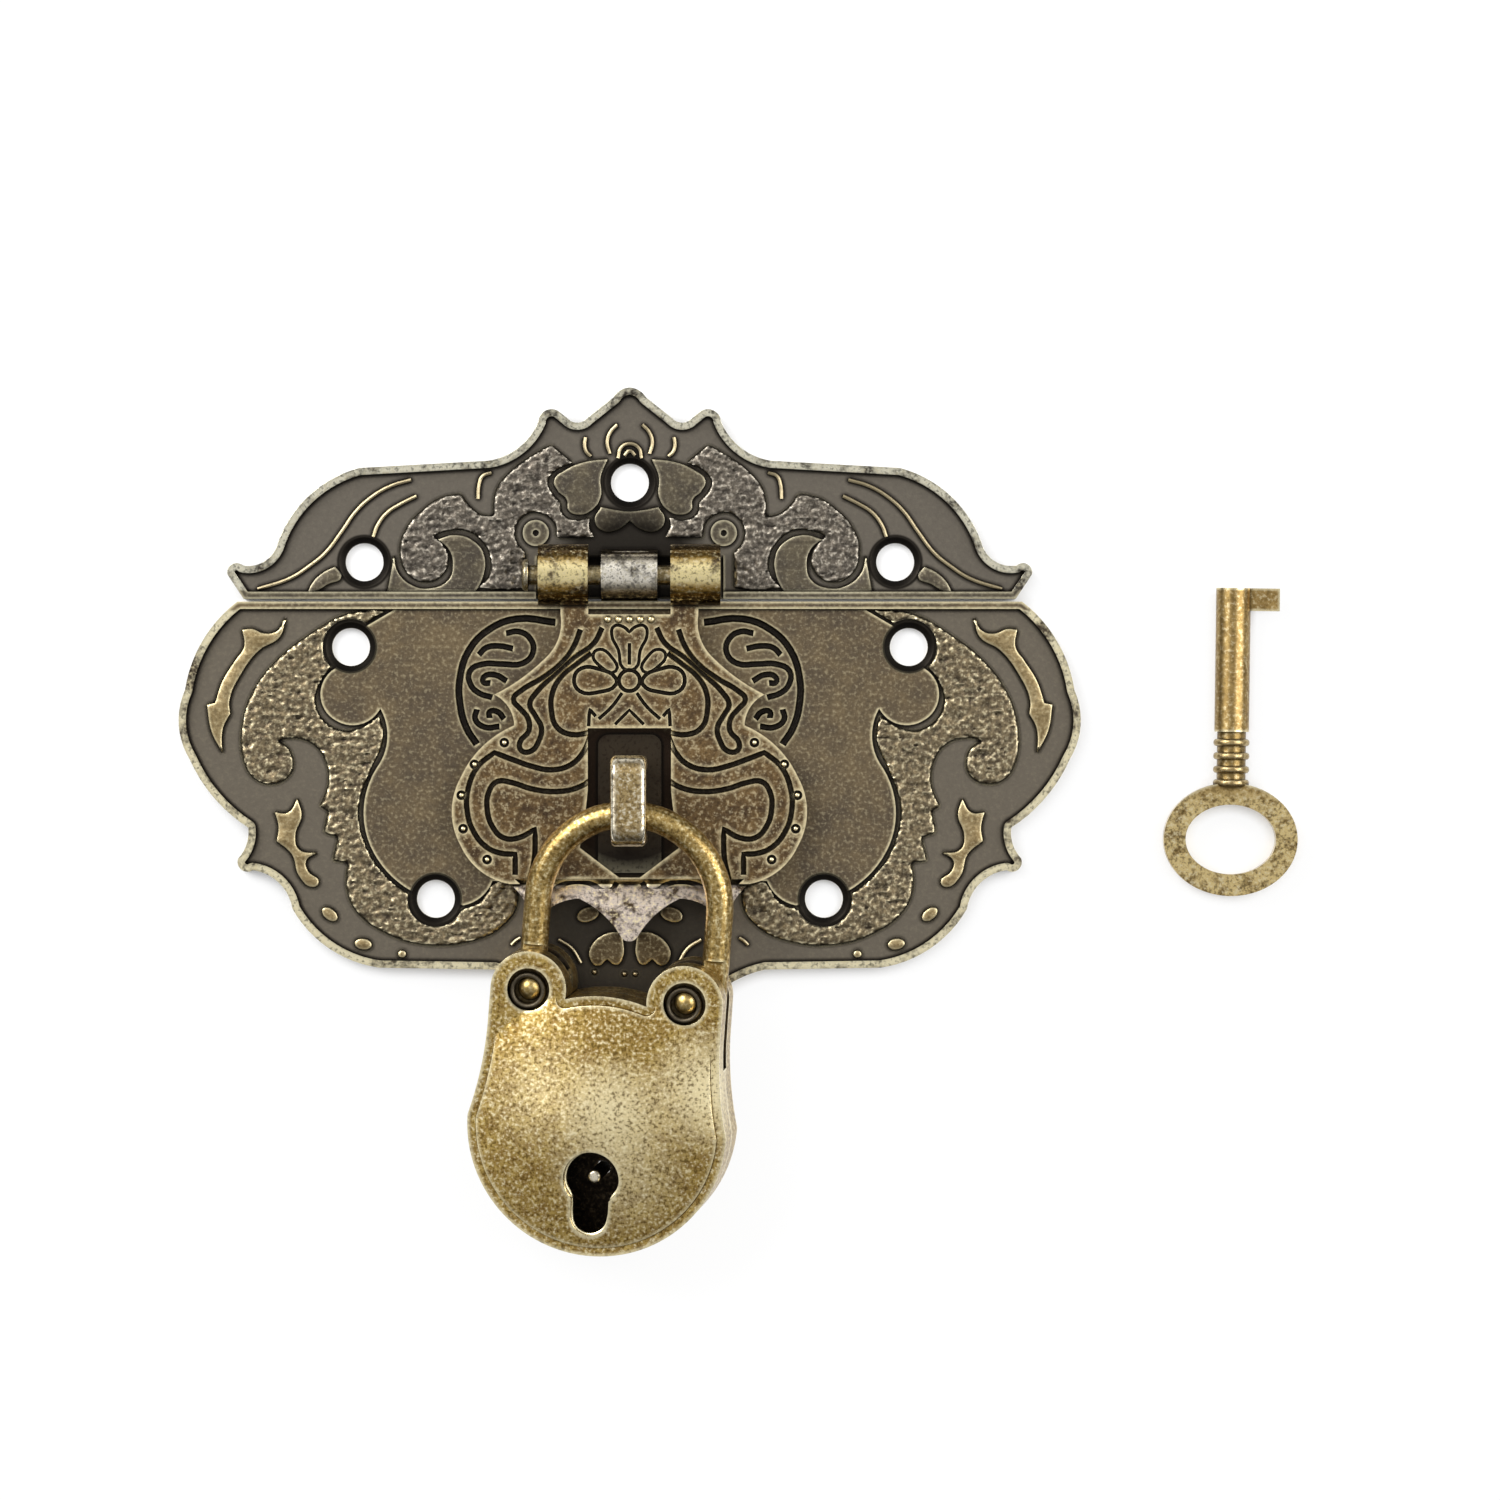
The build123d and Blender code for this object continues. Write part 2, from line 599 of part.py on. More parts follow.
def key():
    """Cast pipe key: hollow barrel with a bit, four collars and an oval bow."""
    barrel_length = barrel_end_y - shoulder_y
    upright = Rotation(90, 0, 0)
    turned = Pos(0, (barrel_end_y + shoulder_y) / 2, 0) * upright * Cylinder(barrel_r, barrel_length)
    neck_end = shoulder_y - collar_count * collar_pitch
    turned += Pos(0, (shoulder_y + neck_end) / 2, 0) * upright * Cylinder(neck_r, shoulder_y - neck_end)
    for i in range(collar_count):
        ring = upright * Cylinder(collar_r, collar_width)
        ring = fillet(ring.edges(), collar_width / 2 - 0.05)
        turned += Pos(0, shoulder_y - collar_start - i * collar_pitch, 0) * ring
    bow_y = neck_end - bow_length / 2 + bow_seat
    bow = Pos(0, bow_y) * (Ellipse(bow_width / 2, bow_length / 2)
                           - Ellipse(bow_width / 2 - bow_band, bow_length / 2 - bow_band))
    turned += Pos(0, 0, -bow_thickness / 2) * extrude(bow, bow_thickness)
    turned += slab(bit_reach, bit_length, bit_thickness, bit_reach / 2,
                   barrel_end_y - bit_length / 2, -bit_thickness / 2)
    turned -= Pos(0, barrel_end_y - barrel_bore_depth / 2, 0) * upright * Cylinder(
        barrel_bore_r, barrel_bore_depth)
    return Pos(key_x, 0, collar_r + table_gap) * Rotation(0, 0, -key_lean) * turned


def write(node, shape):
    """Each sub-part goes to a file of its own."""
    export_step(shape, f"parts/{node}.step")
    box = shape.bounding_box()
    print(f"{node:20s} solids {len(shape.solids())}  volume {shape.volume:8.1f}"
          f"  from {box.min.X:7.2f} {box.min.Y:7.2f} {box.min.Z:6.2f}"
          f"  to {box.max.X:7.2f} {box.max.Y:7.2f} {box.max.Z:6.2f}")


os.makedirs("parts", exist_ok=True)
write("upper_plate", upper_plate())
write("hinge_pin", hinge_pin())
write("hasp_plate", hasp_plate())
write("lower_plate", lower_plate())
write("staple", staple())
place = padlock_place()
write("shackle", place * shackle())
write("padlock_front_shell", place * padlock_front_shell())
write("padlock_back_shell", place * padlock_back_shell())
write("shackle_rivet", place * case_rivet(-rivet_half_spacing))
write("lobe_rivet", place * case_rivet(rivet_half_spacing))
write("drill_pin", place * drill_pin())
write("lock_bolt", place * lock_bolt())
write("bolt_spring", place * bolt_spring())
write("key", key())
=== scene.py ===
import json
from math import cos, exp, pi, radians, sin

import bpy
from mathutils import Matrix, Vector


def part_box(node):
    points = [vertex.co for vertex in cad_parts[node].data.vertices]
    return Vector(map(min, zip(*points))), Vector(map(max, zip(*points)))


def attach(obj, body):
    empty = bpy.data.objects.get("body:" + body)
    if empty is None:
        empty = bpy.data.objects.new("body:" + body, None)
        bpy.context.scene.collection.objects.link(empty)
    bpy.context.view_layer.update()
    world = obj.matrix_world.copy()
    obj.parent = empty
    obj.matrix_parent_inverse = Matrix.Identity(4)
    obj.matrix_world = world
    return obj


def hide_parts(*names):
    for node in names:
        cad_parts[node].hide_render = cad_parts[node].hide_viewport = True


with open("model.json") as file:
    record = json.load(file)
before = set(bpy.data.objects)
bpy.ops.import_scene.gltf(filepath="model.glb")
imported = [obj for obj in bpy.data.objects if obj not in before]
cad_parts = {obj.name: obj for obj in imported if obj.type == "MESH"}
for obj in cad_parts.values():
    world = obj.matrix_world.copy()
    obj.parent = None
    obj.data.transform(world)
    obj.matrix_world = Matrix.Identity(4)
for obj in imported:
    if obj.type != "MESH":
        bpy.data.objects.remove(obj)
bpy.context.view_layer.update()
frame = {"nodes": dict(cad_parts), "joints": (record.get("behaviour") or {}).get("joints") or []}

mm = 0.001


# The lower plate. A flat zinc die casting with a raised rim and raised ornament, plated in
# antique bronze and tumbled: the patina stays black in its corners, and edges are rubbed pale.
# Four countersunk wood screws hold it on the front of the box.
def linear(hex_colour):
    """An sRGB hex colour as the linear values that shaders work in."""
    parts = [int(hex_colour[i:i + 2], 16) / 255 for i in (1, 3, 5)]
    return [p / 12.92 if p <= 0.04045 else ((p + 0.055) / 1.055) ** 2.4 for p in parts] + [1.0]


def add_node(material, kind, settings=None, inputs=None, output=0):
    """Adds a shader node, sets it up, links or sets its inputs, and gives back one output."""
    made = material.node_tree.nodes.new(kind)
    for name, value in (settings or {}).items():
        setattr(made, name, value)
    for name, value in (inputs or {}).items():
        socket = made.inputs[name]
        if isinstance(value, bpy.types.NodeSocket):
            material.node_tree.links.new(value, socket)
        else:
            socket.default_value = value
    return made.outputs[output]


def blend_colours(material, share, first, second):
    """One colour mixed into another by a share from 0 to 1."""
    settings = {"data_type": "RGBA", "clamp_factor": True}
    return add_node(material, "ShaderNodeMix", settings, {0: share, 6: first, 7: second}, 2)


def between(material, value, low, high, to_low=0.0, to_high=1.0):
    """A value stretched from one range to another and clamped there."""
    inputs = {"Value": value, 1: low, 2: high, 3: to_low, 4: to_high}
    return add_node(material, "ShaderNodeMapRange", None, inputs)


def product(material, first, second):
    """Two values multiplied."""
    return add_node(material, "ShaderNodeMath", {"operation": "MULTIPLY"}, {0: first, 1: second})


def round_spots(material, point, tone, spots, only=1.0):
    """Tints round places, each given by its centre, inner and outer radius in mm, share and colour.

    Only is a share from 0 to 1 that keeps the tint to one side of the piece.
    """
    for centre, inner, outer, share, colour in spots:
        away = add_node(material, "ShaderNodeVectorMath", {"operation": "DISTANCE"},
                        {0: point, 1: [c * mm for c in centre]}, "Value")
        inside = between(material, away, outer * mm, inner * mm, 0.0, share)
        tone = blend_colours(material, product(material, inside, only), tone, linear(colour))
    return tone


def antique_metal(name, patina, body, shadow, rubbed, roughness, corner=0.5, edge=0.35, fleck=0.4,
                  mottle=2.2, speckle=0.55, levels=None, painted_light_spots=(), dark_rings_and_shade=(), zones=()):
    """Antique plating over a casting: black patina left in corners, edges and flecks rubbed bright.

    Corner and edge are the widths of those two bands, fleck and mottle the grain of the wear, all
    in mm. Levels are the colour of a sunken ground, the heights where it turns black at the foot of
    a wall, and those where the wall's top turns to body. Painted light spots are round places
    tinted under the flecks, lighter for painted highlights and darker for painted shade. Dark rings
    and shade are round places blackened over them, both dark rings in hollows and painted shade
    where other parts shade the piece; on a plate with levels they stay clear of its back. A zone
    is a colour and the ramps along an axis that bound it.
    """
    material = bpy.data.materials.new(name)
    material.use_nodes = True
    shader = material.node_tree.nodes["Principled BSDF"]
    point = add_node(material, "ShaderNodeTexCoord", output="Object")
    grain = add_node(material, "ShaderNodeTexNoise", None,
                     {"Vector": point, "Scale": 1 / (fleck * mm), "Detail": 3.0, "Roughness": 0.6})
    blotch = add_node(material, "ShaderNodeTexNoise", None,
                      {"Vector": point, "Scale": 1 / (mottle * mm), "Detail": 5.0, "Roughness": 0.7})
    nearby = {"samples": 6, "only_local": True}
    hollow = add_node(material, "ShaderNodeAmbientOcclusion", nearby, {"Distance": corner * mm}, "AO")
    bulge = add_node(material, "ShaderNodeAmbientOcclusion", {**nearby, "inside": True},
                     {"Distance": edge * mm}, "AO")
    tone = blend_colours(material, between(material, blotch, 0.38, 0.62), linear(shadow), linear(body))
    tone = round_spots(material, point, tone, painted_light_spots)
    bright = between(material, grain, 0.53, 0.66)
    dark = between(material, grain, 0.46, 0.37)
    flecks = product(material, bright, speckle)
    pits = product(material, dark, speckle)
    front_side = 1.0
    if levels:
        sunken, foot, top = levels
        back_end = 0.6
        front_start = 0.9
        height = add_node(material, "ShaderNodeSeparateXYZ", None, {0: point}, "Z")
        front_side = between(material, height, back_end * mm, front_start * mm)
        proud = between(material, height, foot[0] * mm, foot[1] * mm)
        flat = between(material, height, top[0] * mm, top[1] * mm)
        tone = blend_colours(material, flat, linear(patina), tone)
        tone = blend_colours(material, proud, linear(sunken), tone)
        flecks = product(material, flecks, between(material, flat, 0.0, 1.0, 0.15, 1.0))
        pits = product(material, pits, between(material, flat, 0.0, 1.0, 0.3, 1.0))
    tone = blend_colours(material, flecks, tone, linear(rubbed))
    tone = blend_colours(material, pits, tone, linear(patina))
    worn = product(material, between(material, bulge, 0.95, 0.62),
                   between(material, grain, 0.3, 0.5, 0.5, 0.95))
    tone = blend_colours(material, worn, tone, linear(rubbed))
    dull = between(material, worn, 0.0, 1.0, roughness, roughness - 0.1)
    for colour, *ramps in zones:
        polished = 1.0
        for axis, low, high in ramps:
            along = add_node(material, "ShaderNodeSeparateXYZ", None, {0: point}, axis)
            polished = product(material, polished, between(material, along, low * mm, high * mm))
        gilt = blend_colours(material, between(material, blotch, 0.37, 0.51), linear(shadow), linear(colour))
        gilt = blend_colours(material, product(material, dark, 0.6), gilt, linear(patina))
        gilt = blend_colours(material, product(material, bright, 0.7), gilt, linear(rubbed))
        tone = blend_colours(material, polished, tone, gilt)
        dull = add_node(material, "ShaderNodeMath", {"operation": "SUBTRACT"},
                        {0: dull, 1: product(material, polished, 0.12)})
    tone = round_spots(material, point, tone, dark_rings_and_shade, front_side)
    tone = blend_colours(material, between(material, hollow, 0.97, 0.72), tone, linear(patina))
    bumps = add_node(material, "ShaderNodeBump", None,
                     {"Strength": 0.6, "Distance": 0.025 * mm, "Height": grain})
    for socket, value in (("Base Color", tone), ("Roughness", dull), ("Normal", bumps)):
        material.node_tree.links.new(value, shader.inputs[socket])
    shader.inputs["Metallic"].default_value = 1.0
    return material


def select_only(piece):
    """Nothing but this piece is selected and active."""
    bpy.ops.object.select_all(action="DESELECT")
    piece.select_set(True)
    bpy.context.view_layer.objects.active = piece


def apply_modifier(piece, kind, **settings):
    """Adds a modifier to the piece and applies it at once."""
    select_only(piece)
    bpy.ops.object.modifier_add(type=kind)
    modifier = piece.modifiers[-1]
    for name, value in settings.items():
        setattr(modifier, name, value)
    bpy.ops.object.modifier_apply(modifier=modifier.name)


def with_metal(piece, material):
    """The piece in this metal alone."""
    piece.data.materials.clear()
    piece.data.materials.append(material)
    return piece


def merged(piece):
    """The piece with its doubled points merged and each of its flats made one face."""
    select_only(piece)
    bpy.ops.object.mode_set(mode="EDIT")
    bpy.ops.mesh.select_all(action="SELECT")
    bpy.ops.mesh.remove_doubles(threshold=0.001 * mm)
    bpy.ops.mesh.dissolve_limited(angle_limit=radians(0.5))
    bpy.ops.object.mode_set(mode="OBJECT")
    return piece


def cast_from(cad_name, material):
    """A casting that starts as a merged copy of its solid."""
    piece = bpy.data.objects.new(cad_name + "_cast", frame["nodes"][cad_name].data.copy())
    bpy.context.scene.collection.objects.link(piece)
    with_metal(piece, material)
    select_only(piece)
    bpy.ops.mesh.customdata_custom_splitnormals_clear()
    return merged(piece)


def soften(piece, edge, steps=2, sharpest=35):
    """Rounds every sharp edge by `edge` mm, as casting and tumbling do."""
    apply_modifier(piece, "BEVEL", width=edge * mm, segments=steps, limit_method="ANGLE",
                   angle_limit=radians(sharpest), use_clamp_overlap=True)
    return piece


def drawn(name, lines, closed=True, **settings):
    """A curve through points in mm; a third number marks a sharp corner."""
    curve = bpy.data.curves.new(name, "CURVE")
    for points in lines:
        spline = curve.splines.new("BEZIER")
        spline.bezier_points.add(len(points) - 1)
        spline.use_cyclic_u = closed
        for spot, point in zip(spline.bezier_points, points):
            spot.co = (point[0] * mm, point[1] * mm, 0)
            spot.handle_left_type = spot.handle_right_type = "VECTOR" if len(point) > 2 else "AUTO"
    for setting, value in settings.items():
        setattr(curve, setting, value)
    piece = bpy.data.objects.new(name, curve)
    bpy.context.scene.collection.objects.link(piece)
    return piece


def as_mesh(piece, z):
    """Turns the curve into a mesh at height z mm, with its place in the mesh."""
    piece.location.z = z * mm
    select_only(piece)
    bpy.ops.object.convert(target="MESH")
    piece = bpy.context.object
    bpy.ops.object.transform_apply(location=True, rotation=True, scale=True)
    bpy.ops.object.mode_set(mode="EDIT")
    bpy.ops.mesh.select_all(action="SELECT")
    bpy.ops.mesh.remove_doubles(threshold=0.001 * mm)
    bpy.ops.mesh.normals_make_consistent(inside=False)
    bpy.ops.object.mode_set(mode="OBJECT")
    return piece


def raised(lines, foot, top, edge=0.18):
    """Ornament standing proud: flat-topped shapes from foot to top mm with a soft edge."""
    depth = (top - foot) / 2
    piece = drawn("relief", lines, dimensions="2D", fill_mode="BOTH", extrude=(depth - edge) * mm,
                  bevel_depth=edge * mm, bevel_resolution=1, offset=-edge * mm, resolution_u=6)
    return as_mesh(piece, foot + depth)


def ribs(lines, z, width):
    """Raised ribs with a round back, `width` mm wide, centred at height z mm."""
    piece = drawn("ribs", lines, closed=False, dimensions="3D", fill_mode="FULL", bevel_depth=width / 2 * mm,
                  bevel_resolution=2, use_fill_caps=True, resolution_u=6)
    return as_mesh(piece, z)


def beads(places, z, radius, height):
    """Low round beads standing at height z mm."""
    made = []
    for x, y in places:
        bpy.ops.object.select_all(action="DESELECT")
        bpy.ops.mesh.primitive_uv_sphere_add(segments=12, ring_count=6, radius=radius * mm,
                                             location=(x * mm, y * mm, z * mm))
        bead = bpy.context.object
        bead.scale.z = height / radius
        bpy.ops.object.transform_apply(location=True, rotation=True, scale=True)
        made.append(bead)
    return joined(made[0], made[1:])


def mirrored(lines):
    """The lines and their mirror images across the centre line."""
    other = [[(-p[0],) + tuple(p[1:]) for p in reversed(points)] for points in lines]
    return list(lines) + other


def oval(x, y, half_long, half_wide, turn=0):
    """Eight points round an oval turned by some degrees."""
    across, up = cos(radians(turn)), sin(radians(turn))
    corners = [(half_long * cos(k * pi / 4), half_wide * sin(k * pi / 4)) for k in range(8)]
    return [(x + a * across - b * up, y + a * up + b * across) for a, b in corners]


def joined(first, others):
    """One casting out of several meshes."""
    select_only(first)
    for other in others:
        other.select_set(True)
    bpy.ops.object.join()
    return first


def cut_by(piece, cutter):
    """Takes the cutter's shape out of the piece and removes the cutter."""
    apply_modifier(piece, "BOOLEAN", operation="DIFFERENCE", object=cutter, solver="EXACT", use_self=True)
    bpy.data.objects.remove(cutter)
    return piece


def engrave(piece, z, *cuts):
    """Cuts round-bottomed lines into the piece's face at height z mm, all in one go.

    Each cut is its lines, their width and depth in mm, and whether they are closed loops.
    """
    gravers = []
    for lines, width, depth, closed in cuts:
        radius = ((width / 2) ** 2 + depth ** 2) / (2 * depth)
        graver = drawn("graver", lines, closed=closed, dimensions="3D", fill_mode="FULL",
                       bevel_depth=radius * mm, bevel_resolution=1, use_fill_caps=True, resolution_u=4)
        gravers.append(as_mesh(graver, z + radius - depth))
    return cut_by(piece, joined(gravers[0], gravers[1:]))


def rods(places, radius, low, high):
    """Upright rods that cut holes."""
    made = []
    for x, y in places:
        bpy.ops.object.select_all(action="DESELECT")
        bpy.ops.mesh.primitive_cylinder_add(vertices=48, radius=radius * mm, depth=(high - low) * mm,
                                            location=(x * mm, y * mm, (high + low) / 2 * mm))
        bpy.ops.object.transform_apply(location=True, rotation=True, scale=True)
        made.append(bpy.context.object)
    return joined(made[0], made[1:])


def hammered(lines, foot, top, depth, clear_of, clear_r, voxel=0.2):
    """A patch beaten all over into dents with sharp ridges, its screw holes kept clear.

    The dents are twice as long across the plate as they are high. Each kind of dent is its size in
    mm and its share of the depth.
    """
    dents = ((1.15, 0.6), (0.5, 0.5))
    piece = raised(lines, foot, top, edge=0.1)
    cut_by(piece, rods(clear_of, clear_r, foot - 1, top + 1))
    apply_modifier(piece, "REMESH", mode="VOXEL", voxel_size=voxel * mm)
    for squeeze in (0.5, 2.0):
        select_only(piece)
        piece.scale.x = squeeze
        bpy.ops.object.transform_apply(location=True, rotation=True, scale=True)
        if squeeze < 1:
            for cell, share in dents:
                texture = bpy.data.textures.new("beaten", "CLOUDS")
                texture.noise_scale = cell * mm
                texture.noise_depth = 1
                texture.noise_basis = "VORONOI_F2_F1"
                apply_modifier(piece, "DISPLACE", texture=texture, direction="Z",
                               strength=-depth * share * mm, mid_level=0.3, texture_coords="LOCAL")
    return piece


def hung(piece, cad_name, body):
    """Smooths the piece but for its flats, lets it ride on its body and stand for its solid."""
    select_only(piece)
    bpy.ops.object.shade_smooth_by_angle(angle=radians(40))
    apply_modifier(piece, "WEIGHTED_NORMAL", keep_sharp=True)
    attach(piece, body)
    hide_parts(cad_name)


ground = 1.4
field_top = 2.0
island_top = 2.0
relief_foot = ground - 0.2
band_foot = ground - 0.6
band_top = field_top - 0.05
dent_depth = 0.6
screw_ring = 3.1
countersink = (2.95, 3.15)
low_screws = [(side * x, y) for side in (-1, 1) for x, y in ((30.9, -5.0), (21.5, -32.9))]
patina_black = "#1d1a17"
all_black = (0.0, 1.0)
rubbed_rim = ("Z", 2.06, 2.2)
shade_in_slot = ((0, -21, 2), 7.5, 9.5)
shade_round_low_flower = ((0, -37, 2), 9, 12)
# Painted shade: the slot under the hasp and the ground round the flower under its bent tip are blackened as
# shade; the countersinks get dark rings.
lower_metal = antique_metal("antique_bronze_on_zinc_lower", patina=patina_black, body="#6e604a",
                            shadow="#574d40", rubbed="#e3d6ae", roughness=0.46, mottle=4.5, speckle=0.2,
                            levels=("#676055", (ground + 0.05, ground + 0.1),
                                    (field_top - 0.14, field_top - 0.06)),
                            dark_rings_and_shade=[(*shade_in_slot, 0.97, "#2a211b"), (*shade_round_low_flower, 0.75, patina_black)]
                            + [((x, y, ground), *countersink, 0.95, patina_black) for x, y in low_screws],
                            zones=[("#e6dcba", rubbed_rim, ("Y", -0.85, -1.15))])
# Painted shade: the ornament round the flower under the hasp's tip is tinted dark as shade.
lower_ornament = antique_metal("rubbed_bronze_ornament", patina=patina_black, body="#9c8a66",
                               shadow="#7f6d4c", rubbed="#ddd0a8", roughness=0.42, mottle=1.2, speckle=0.3,
                               levels=("#6d665b", all_black, (field_top - 0.2, field_top - 0.1)),
                               painted_light_spots=[(*shade_round_low_flower, 0.75, "#3d3227")])
rib_metal = antique_metal("rubbed_bronze_ribs", patina=patina_black, body="#8f8268", shadow="#736850",
                          rubbed="#a89b7c", roughness=0.46, mottle=1.2, speckle=0.3,
                          levels=(patina_black, all_black, (ground + 0.2, ground + 0.32)))
lower_beaten = antique_metal("beaten_bronze_lower", patina="#332c26", body="#84755a", shadow="#5b5040",
                             rubbed="#e9dcb6", roughness=0.4, corner=0.4, edge=0.3, fleck=0.5, mottle=0.8,
                             speckle=0.6, levels=("#332c26", all_black, (1.8, 2.05)))
arrow = [(-38.1, -1.8, 1), (-38.7, -3.9), (-41.0, -5.4), (-43.0, -8.0), (-44.3, -11.0),
         (-44.2, -12.4, 1), (-45.0, -14.0), (-45.1, -16.7, 1), (-46.3, -14.4), (-46.8, -11.4, 1),
         (-45.9, -11.2, 1), (-45.1, -8.8), (-43.6, -6.4), (-42.7, -5.0), (-42.9, -3.1, 1),
         (-41.8, -3.0), (-40.4, -3.5), (-39.0, -3.2)]
leaf = [(-36.8, -21.8, 1), (-36.3, -23.6), (-37.0, -25.9), (-36.6, -27.4), (-34.6, -27.8, 1),
        (-35.8, -28.7), (-35.6, -29.8), (-34.4, -31.0), (-35.0, -31.6), (-36.6, -30.4), (-37.4, -28.0),
        (-39.1, -26.5, 1), (-38.9, -24.9), (-39.3, -23.3, 1), (-37.8, -23.3)]
drops = [oval(-33.2, -34.6, 1.0, 0.6, -38), oval(-29.5, -37.9, 0.95, 0.6, -8),
         oval(-25.2, -39.0, 0.45, 0.4)]
low_petals = [oval(-4.6, -34.6, 1.3, 0.8, 20),
              [(-0.9, -36.5, 1), (-2.6, -36.7), (-4.2, -38.0), (-4.5, -39.3), (-3.6, -40.3),
               (-2.5, -39.6, 1), (-1.4, -40.2), (-0.7, -39.2), (-0.7, -37.7)]]
low_arcs = [[(-7.9, -37.4), (-6.4, -38.4), (-5.4, -40.0)],
            [(-13.1, -38.0), (-12.6, -37.5), (-12.1, -37.2)]]
low_arc_width = 0.4
low_bead_places = [(-3.9, -41.0), (3.9, -41.0), (-0.6, -41.2), (0.6, -41.2)]
low_bead_r = 0.35
low_bead_height = 0.5
low_band = [(-26.9, -0.9, 1), (-28.6, -0.9, 1), (-31.6, -1.5), (-35.3, -3.6), (-39.0, -6.5),
            (-41.6, -9.9), (-42.9, -14.0), (-42.6, -17.8), (-41.4, -19.6), (-39.4, -20.1),
            (-37.6, -19.0), (-37.4, -17.2), (-38.1, -16.0), (-39.3, -15.4, 1), (-37.4, -15.0),
            (-35.0, -15.7), (-33.6, -17.6), (-33.3, -20.2), (-34.2, -22.6, 1), (-33.3, -23.1, 1),
            (-33.8, -25.5, 1), (-32.2, -26.0, 1), (-32.8, -28.6, 1), (-31.1, -28.8, 1), (-31.3, -31.6),
            (-30.2, -34.2), (-27.0, -36.6), (-22.6, -37.9), (-18.0, -37.6), (-14.3, -36.0),
            (-12.5, -33.4), (-12.9, -31.3), (-14.6, -30.9), (-16.6, -33.3), (-18.6, -34.1, 1),
            (-23.8, -32.9, 1), (-27.2, -30.2), (-29.4, -26.6), (-30.0, -22.6), (-28.7, -18.6),
            (-27.3, -15.0), (-27.7, -12.7, 1), (-30.4, -14.2), (-33.0, -13.9), (-34.8, -11.4),
            (-34.0, -8.4), (-33.2, -7.4, 1), (-29.6, -2.6, 1)]
fan = [[(-8.2, -2.3), (-12.5, -1.9), (-15.6, -3.1), (-17.8, -5.4), (-18.8, -8.5), (-18.8, -11.2),
        (-18.1, -13.9), (-16.9, -15.8)]]
scrolls = [[(-13.7, -3.5), (-12.3, -3.3), (-11.0, -4.1), (-10.7, -5.6), (-11.8, -6.8), (-14.2, -6.9),
            (-16.2, -6.9), (-17.7, -7.7), (-17.6, -9.2), (-16.7, -10.1), (-15.2, -10.6)],
           [(-12.9, -5.2), (-14.5, -4.9), (-15.9, -5.1), (-16.7, -5.9)],
           [(-13.6, -8.8), (-14.9, -8.1), (-16.1, -8.3), (-16.2, -8.9), (-15.4, -9.0)],
           [(-16.9, -11.9), (-17.1, -13.0), (-16.0, -13.9), (-14.4, -13.8)],
           [(-15.5, -12.9), (-15.5, -12.2), (-14.6, -12.2), (-13.9, -13.0)]]

lower = cast_from("lower_plate", lower_metal)
engrave(lower, field_top, (mirrored(fan), 0.85, 0.42, False), (mirrored(scrolls), 0.7, 0.35, False))
soften(lower, 0.1)
low_relief = raised(mirrored([arrow, leaf] + drops + low_petals), relief_foot, island_top)
low_ribs = ribs(mirrored(low_arcs), ground + low_arc_width / 2, low_arc_width)
low_beads = beads(low_bead_places, ground, low_bead_r, low_bead_height)
with_metal(low_relief, lower_ornament)
for part in (low_ribs, low_beads):
    with_metal(part, rib_metal)
low_patch = hammered(mirrored([low_band]), band_foot, band_top, dent_depth, low_screws, screw_ring)
with_metal(low_patch, lower_beaten)
lower = joined(lower, [low_relief, low_ribs, low_beads, low_patch])
hung(lower, "lower_plate", "box_side")


# The staple. A bent strip of brass whose two legs are riveted through the lower plate; its
# bridge takes the padlock's ring. The tumbling has rubbed its corners almost to silver.
bridge_top = ("Z", 11.5, 12.5)
bridge_edges = (("X", 1.3, 1.75), ("X", -1.3, -1.75), ("Y", -17.9, -17.4), ("Y", -26.0, -26.5))
staple_metal = antique_metal("rubbed_brass_staple", patina="#40342a", body="#ab966a", shadow="#86714a",
                             rubbed="#f3ecd6", roughness=0.36, edge=0.7, fleck=0.4, mottle=0.6, speckle=0.6,
                             levels=("#40342a", all_black, (2.6, 3.4)),
                             zones=[("#f5eeda", bridge_top, edge) for edge in bridge_edges])
staple = soften(cast_from("staple", staple_metal), 0.45, 3)
hung(staple, "staple", "box_side")


# The hasp. A thicker casting with two knuckles at its top, a slot that drops over the staple,
# lines engraved round a five-petalled flower, and a finger tip bent out to lift it by. The
# knuckles and the tip, which hands and boxes rub, have lost most of their patina. The knuckles
# also carry a painted highlight along their middle and painted shade on their underside and top.
hasp_face = 4.55
hasp_ground = 4.15
hasp_fold = -31.2
knuckle_sides = ("Z", 4.75, 5.3)
# Zones: the knuckles' rubbed brass, a painted highlight band along their middle, painted shade on their
# underside and top, and the tip's worn zinc.
hasp_metal = antique_metal("antique_bronze_hasp", patina="#1d1914", body="#755f41", shadow="#4e3f30",
                           rubbed="#f0e0b4", roughness=0.42, edge=0.5, mottle=2.2, speckle=0.35,
                           levels=("#1d1914", all_black, (hasp_face - 0.2, hasp_face - 0.09)),
                           zones=[("#ad8a46", knuckle_sides),
                                  ("#f8e6ab", ("Z", 6.3, 6.9), ("Y", 1.4, 2.3), ("Y", 4.8, 3.8)),
                                  ("#453619", ("Z", 4.6, 4.8), ("Y", 1.2, 0.3), ("Y", -1.3, -0.8)),
                                  ("#66502a", knuckle_sides, ("Y", 4.7, 5.4)),
                                  ("#c9bbae", ("Y", hasp_fold - 0.1, hasp_fold - 0.4))])
